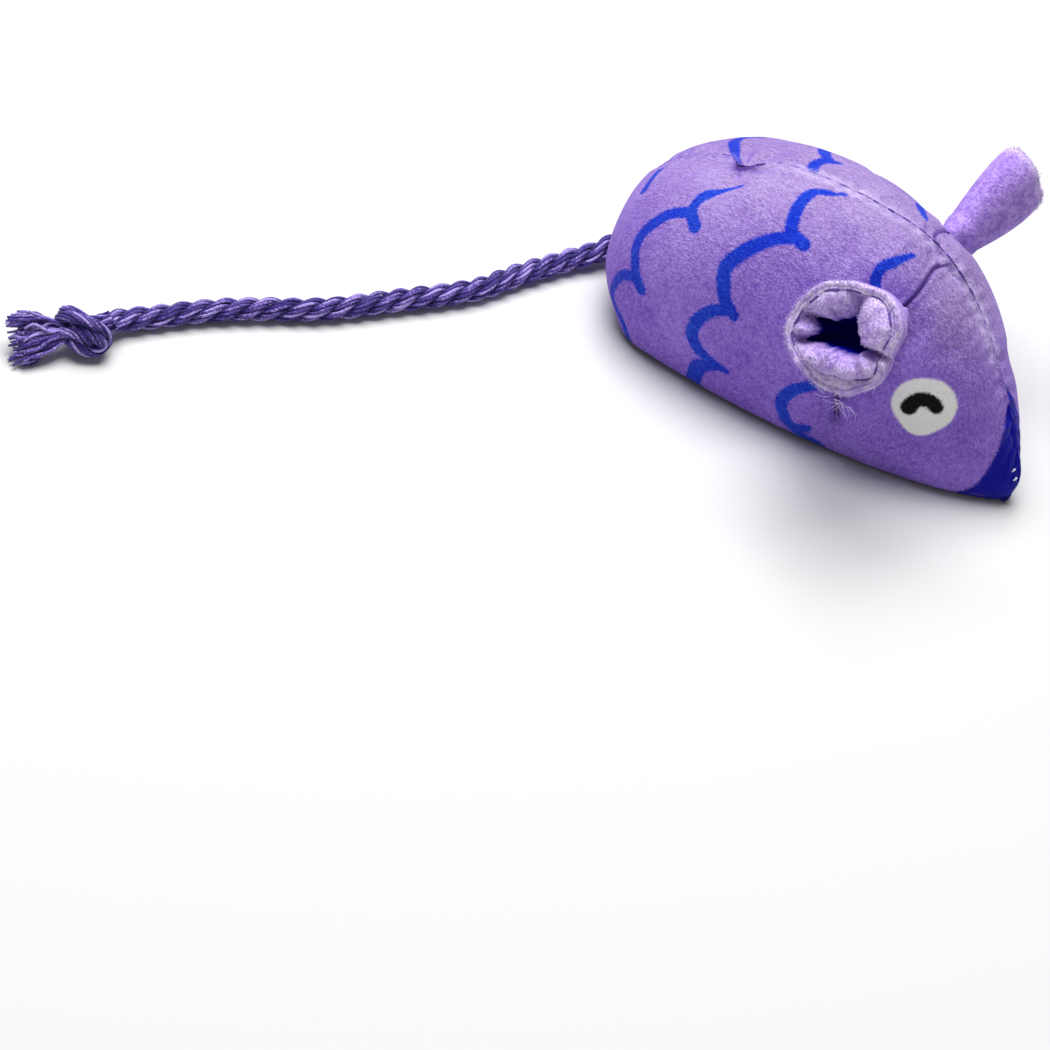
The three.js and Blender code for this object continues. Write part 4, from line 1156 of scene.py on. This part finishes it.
def ear_frame(title):
    """The ear's hinge point in mm and its directions: towards the nose, along the dart, out of the body."""
    joint = joints[f"ear_{title}_fold"]
    dart = np.array(joint["axis"], float)
    dart /= np.linalg.norm(dart)
    nosewards = np.array([1.0, 0, 0])
    upright = np.cross(nosewards, dart)
    lean = math.radians(EAR_LEAN_DEG[title])
    out = upright * math.cos(lean) + nosewards * math.sin(lean)
    return np.array(joint["pos_m"]) / MM, np.array([np.cross(dart, out), dart, out])


def angle_from(turn, degrees):
    """Signed angle in degrees from a direction to each turn."""
    return (np.degrees(turn) - degrees + 180) % 360 - 180


def round_mouth(table, turn):
    """Smooth value at each turn from a table of (degrees, value) round an ear's mouth."""
    first = np.array(table[0]) + (360, 0)
    degrees, values = smooth_line([*table, first], 0.5).T
    return np.interp(np.degrees(turn), degrees, values, period=360)


def ear_ring(title, height, inset, turn):
    """Local ring of an ear's wall at a height above the hinge, drawn in by an inset, uneven near the rim."""
    up = np.clip(height / EAR_RIM, 0, 1)
    edge = round_mouth(EAR_EDGE[title], turn)
    half_x, half_y = EAR_FOOT[title]
    foot = half_x * half_y / np.hypot(half_y * np.cos(turn), half_x * np.sin(turn))
    size = EAR_EDGE[title][0][1] / 9
    uneven = 0.15 * np.sin(5 * turn + 1.9) + 0.12 * np.sin(11 * turn)
    curl = 1 - EAR_CURL[title] * np.clip(up * 4 - 3, 0, 1) ** 2
    reach = foot + (edge - foot) * np.sin(up * np.pi / 2) * curl + uneven * size * up ** 3 - inset
    pinch = np.clip(1 + 0.09 * np.minimum(height + 1.5, 0), 0.3, 1)
    ring = np.maximum(reach, 0.2)[:, None] * np.column_stack([np.cos(turn), np.sin(turn)])
    off = angle_from(turn, EAR_NOTCH_DEG)
    notch = dent(off, 2.4, 5) + dent(off + 24, 0.9, 22)
    wave = 0.35 * np.sin(3 * turn + 0.8) + 0.2 * np.sin(7 * turn + 2.1) + 0.1 * np.sin(17 * turn)
    top = np.clip(height / EAR_RIM, 0, 1.1) ** 2
    rise = height + (wave - notch * EAR_NOTCH_SHARE[title]) * size * top
    return np.column_stack([ring[:, 0] * pinch, ring[:, 1], rise])


def ear_folds(title, turn):
    """For each turn: the hole's share of the mouth, how full the fold is, its rise and its drop."""
    degrees = np.degrees(turn) % 360
    hole = np.interp(degrees, *np.array(EAR_HOLE_EDGE[title]).T, period=360)
    creases = EAR_CREASES[title]
    pinched = np.max([dent(angle_from(turn, crease), 1, 11) for crease in creases], axis=0)
    fold = (np.searchsorted(creases, degrees, side="right") - 1) % len(creases)
    soft = dent(np.arange(-9, 10), 1, 4.0)
    soft /= soft.sum()
    eased = []
    for table in (EAR_PUFF_RISE, EAR_PUFF_DROP):
        stepped = np.tile(np.array(table[title])[fold], 3)
        eased.append(np.convolve(stepped, soft, "same")[len(turn):2 * len(turn)])
    return hole, 1 - pinched, *eased


def loft(name, rows, hinge, axes):
    """Closed loft of rings, the last joined to the first, placed by an ear's frame."""
    count, sides = rows.shape[:2]
    grid = np.arange(count * sides).reshape(count, sides)
    down, around = np.roll(grid, -1, axis=0), np.roll(grid, -1, axis=1)
    quads = np.stack([grid, around, np.roll(down, -1, axis=1), down], -1).reshape(-1, 4)
    return new_piece(name, hinge + rows.reshape(-1, 3) @ axes, quads.tolist())


def standing_fibre(rng, root, stand, reach, bow):
    """Three points of a loose fibre that stands from its root, of a random length and a little bowed."""
    tip = root + stand / np.linalg.norm(stand) * rng.uniform(*reach)
    return np.array([root, (root + tip) / 2 + rng.uniform(-bow, bow, 3), tip])


def loose_pile(name, fibres):
    """One piece of loose fibres, all as pale as the cut edge."""
    piece = tubes_piece(name, fibres)
    store(piece, "rim", 0)
    store(piece, "deep", 0)
    piece.data.materials.append(ear_inside)
    return piece


def ear_plush(name, face, shade, pale_to):
    """Unprinted plush: pale cut pile from the rim to a way in mm, and painted shade of dark navy where folds
    lead into the hole.
    """
    material, tree = new_material(name)
    place = node(tree, "TexCoord").outputs["Object"]
    fine = noise(tree, place, 0.5, 2)
    clumps = noise(tree, place, 1.6, 2)
    nap = maths(tree, "ADD", fine, clumps)
    spread = node(tree, "MapRange", {"Value": nap, "From Min": 0.82, "From Max": 1.2})
    tint = mix(tree, spread, shade, face)
    rim = stored(tree, "rim")
    ragged = maths(tree, "MULTIPLY_ADD", clumps, 2.2, rim)
    cut = node(tree, "MapRange", {"Value": ragged, "From Min": pale_to, "From Max": 1.2})
    pale_tips_and_top_light = mix(tree, spread, EAR_RIM_LILAC, EAR_RIM_PALE)
    edge = mix(tree, cut, tint, pale_tips_and_top_light)
    # painted shade: deep turns the plush to the hole's dark navy
    deep = stored(tree, "deep")
    colour = mix(tree, deep, edge, EAR_HOLE)
    bump = raised(tree, nap, 0.6, 0.35)
    surface(tree, {
        "Base Color": colour, "Roughness": 0.92, "Normal": bump, "Specular IOR Level": 0.15,
        "Sheen Weight": 0.2, "Sheen Roughness": 0.45, "Sheen Tint": EAR_SHEEN,
    })
    return material


ear_outside = ear_plush("lilac_short_pile_plush", EAR_OUT_LILAC, EAR_OUT_SHADE, 3.2)
ear_inside = ear_plush("pale_short_pile_plush", EAR_LINING, EAR_LINING_SHADE, 7.0)
# a flat dark material painted on the faces deep in the hole, where there is only shade
ear_hole, tree = new_material("plush_painted_hole_shade")
surface(tree, {"Base Color": EAR_HOLE, "Roughness": 1.0, "Specular IOR Level": 0.0})
turn = np.linspace(0, 2 * np.pi, EAR_SIDES, endpoint=False)
over = np.linspace(0, np.pi, 9)
climb = np.linspace(-EAR_FOOT_DOWN, EAR_RIM - EAR_LAYER / 2, 46)[:-1]
heights = np.concatenate([climb, EAR_RIM - EAR_LAYER / 2 + EAR_LAYER / 2 * np.sin(over), climb[::-3]])
insets = np.concatenate([0 * climb, EAR_LAYER / 2 * (1 - np.cos(over)), 0 * climb[::-3] + EAR_LAYER])
for title in ("right", "left"):
    hinge, axes = ear_frame(title)

    # Outer layer: from its foot in the dart up to the cut edge, over it and down inside
    wall_rows = np.array([ear_ring(title, height, inset, turn) for height, inset in zip(heights, insets)])
    outer = loft(f"ear_{title}_back", wall_rows, hinge, axes)
    store(outer, "rim", np.repeat(np.maximum(EAR_RIM - heights, 0), EAR_SIDES))
    store(outer, "deep", 0)
    outer.data.materials.append(ear_outside)
    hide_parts(f"ear_{title}_outer")

    # Lining: sewn in below the cut edge, swelling in folds that turn under themselves round the hole
    hole, full, rise, drop = ear_folds(title, turn)
    band = round_mouth(EAR_BAND[title], turn)
    lining_climb = np.linspace(EAR_LINING_FROM, EAR_RIM - 0.9, 10)
    outside = [ear_ring(title, height, EAR_LAYER + 0.1, turn) for height in lining_climb]
    outside.append(ear_ring(title, EAR_RIM - 0.15, EAR_LAYER - 0.1, turn))
    outside.append(ear_ring(title, EAR_RIM - 0.1, EAR_LAYER + 0.2 + 0.5 * (band - 1.6), turn))
    brow = ear_ring(title, EAR_RIM, band, turn)
    roll = np.linspace(0, EAR_ROLL * np.pi, EAR_ROLL_STEPS)
    puffs = []
    for phi in roll:
        ring = brow.copy()
        ring[:, :2] *= (1 - (1 - hole) * (1 - math.cos(phi)) / 2)[:, None]
        valley = 1.4 * (1 - full) * math.sin(min(phi, math.pi / 2))
        ring[:, 2] += rise * full * math.sin(phi) - valley - EAR_BROW_DOWN - drop * (phi / math.pi) ** 2
        puffs.append(ring)
    for height in EAR_LINING_END:
        ring = puffs[-1].copy()
        ring[:, :2] *= (height - 3) / 5
        ring[:, 2] = height
        puffs.append(ring)
    for ring in puffs:
        wall = np.linalg.norm(ear_ring(title, ring[:, 2], EAR_LAYER + 0.35, turn)[:, :2], axis=1)
        ring[:, :2] *= np.minimum(1, wall / np.linalg.norm(ring[:, :2], axis=1))[:, None]
    rows = np.concatenate([outside, puffs])
    lining = loft(f"ear_{title}_puffed_lining", rows, hinge, axes)
    rim_gap = np.concatenate([np.full(len(outside), 0.8), np.linspace(1.0, 9, len(puffs))])
    into = [np.zeros(len(outside)), roll / np.pi, np.full(len(EAR_LINING_END), EAR_ROLL)]
    into = np.concatenate(into)[:, None]
    # painted shade: the lining darkens as it rolls into the hole and down the folds, and its hidden foot
    # rows are dark
    painted_fold_shade = np.clip((0.5 - full) / 0.5, 0, 1) * np.clip((into - 0.3) / 0.3, 0, 1)
    deep = np.clip((into - 0.80) / 0.16 + 0.8 * painted_fold_shade, 0, 1)
    deep[:4] = 1
    store(lining, "rim", np.repeat(rim_gap, EAR_SIDES))
    store(lining, "deep", deep)
    lining.data.materials.append(ear_inside)
    lining.data.materials.append(ear_hole)
    # faces that are deep at all their corners take the flat painted hole shade
    corners = np.zeros(len(lining.data.loops), int)
    lining.data.loops.foreach_get("vertex_index", corners)
    dark = deep.ravel()[corners].reshape(-1, 4).min(axis=1) > 0.95
    lining.data.polygons.foreach_set("material_index", dark.astype(int))
    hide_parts(f"ear_{title}_lining")

    # Running stitch in the groove between the cut edge and the folds
    sewn_turn = np.radians(np.linspace(EAR_NOTCH_DEG + 9, EAR_NOTCH_DEG + 351, 180))
    ring = ear_ring(title, EAR_RIM, round_mouth(EAR_BAND[title], sewn_turn) - 0.1, sewn_turn)
    ring[:, 2] -= 0.2 + 0.12 * np.sin(5 * sewn_turn + 0.7) + 0.08 * np.sin(11 * sewn_turn)
    tubes = running_stitch(hinge + ring @ axes, *EAR_STITCH, seed=40, sink=0)
    ear_sewing = tubes_piece(f"ear_{title}_running_stitch", tubes)
    ear_sewing.data.materials.append(thread)
    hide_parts(f"ear_{title}_stitch")

    # Loose pile fibres that stand out on the folds and along the cut edge
    rng = np.random.default_rng(50)
    fibres = []
    facing = np.cross(np.roll(rows, -1, axis=1) - np.roll(rows, 1, axis=1), np.gradient(rows, axis=0))
    facing /= np.maximum(np.linalg.norm(facing, axis=-1, keepdims=True), 1e-9)
    for at in rng.integers(0, EAR_SIDES, EAR_PILE):
        row = rng.integers(len(outside), len(outside) + EAR_PILE_ROWS)
        stand = facing[row, at] * np.sign(facing[row, at, 2]) + rng.uniform(-0.8, 0.8, 3)
        line = hinge + standing_fibre(rng, rows[row, at], stand, EAR_PILE_REACH, 0.08) @ axes
        fibres.append((tube_points(line, EAR_PILE_RADII, 3), rng.uniform(0, 1)))
    for at in rng.uniform(0, 2 * np.pi, EAR_FUZZ):
        height = EAR_RIM - rng.uniform(-0.1, 0.9)
        root = ear_ring(title, height, rng.uniform(0.1, 0.9), np.array([at]))[0]
        stand = np.array([math.cos(at), math.sin(at), 0]) * rng.uniform(-0.6, 1.2)
        stand += (*rng.uniform(-0.5, 0.5, 2), rng.uniform(0.2, 0.9))
        line = hinge + standing_fibre(rng, root, stand, EAR_FUZZ_REACH, 0.15) @ axes
        fibres.append((tube_points(line, EAR_FUZZ_RADII, 3), rng.uniform(0, 1)))
    fuzz = loose_pile(f"ear_{title}_rim_fuzz", fibres)
    for piece in (outer, lining, ear_sewing, fuzz):
        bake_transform(piece)

# Wisps: a few long pale fibres pulled out of the dart's end below the right ear.
# They are the ears' plush and hang from the body.
WISPS = 16
WISP_LINE = ((11.2, -20.1, 16.1), (18.4, -18.3, 15.4))
WISP_REACH = (1.6, 4.4)
WISP_BOW = 0.5
WISP_RADII = (0.09, 0.04)

rng = np.random.default_rng(61)
fibres = []
for _ in range(WISPS):
    root = np.array(WISP_LINE[0]) + np.subtract(WISP_LINE[1], WISP_LINE[0]) * rng.uniform(0.1, 0.9)
    stand = np.array([rng.uniform(-0.9, 1.1), rng.uniform(-0.6, -0.2), rng.uniform(-0.7, 0.35)])
    line = smooth_line(standing_fibre(rng, root, stand, WISP_REACH, WISP_BOW), 0.4)
    fibres.append((tube_points(line, np.linspace(*WISP_RADII, len(line)), 4), rng.uniform(0, 1)))
wisps = loose_pile("dart_end_wisps", fibres)
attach(wisps, "body")
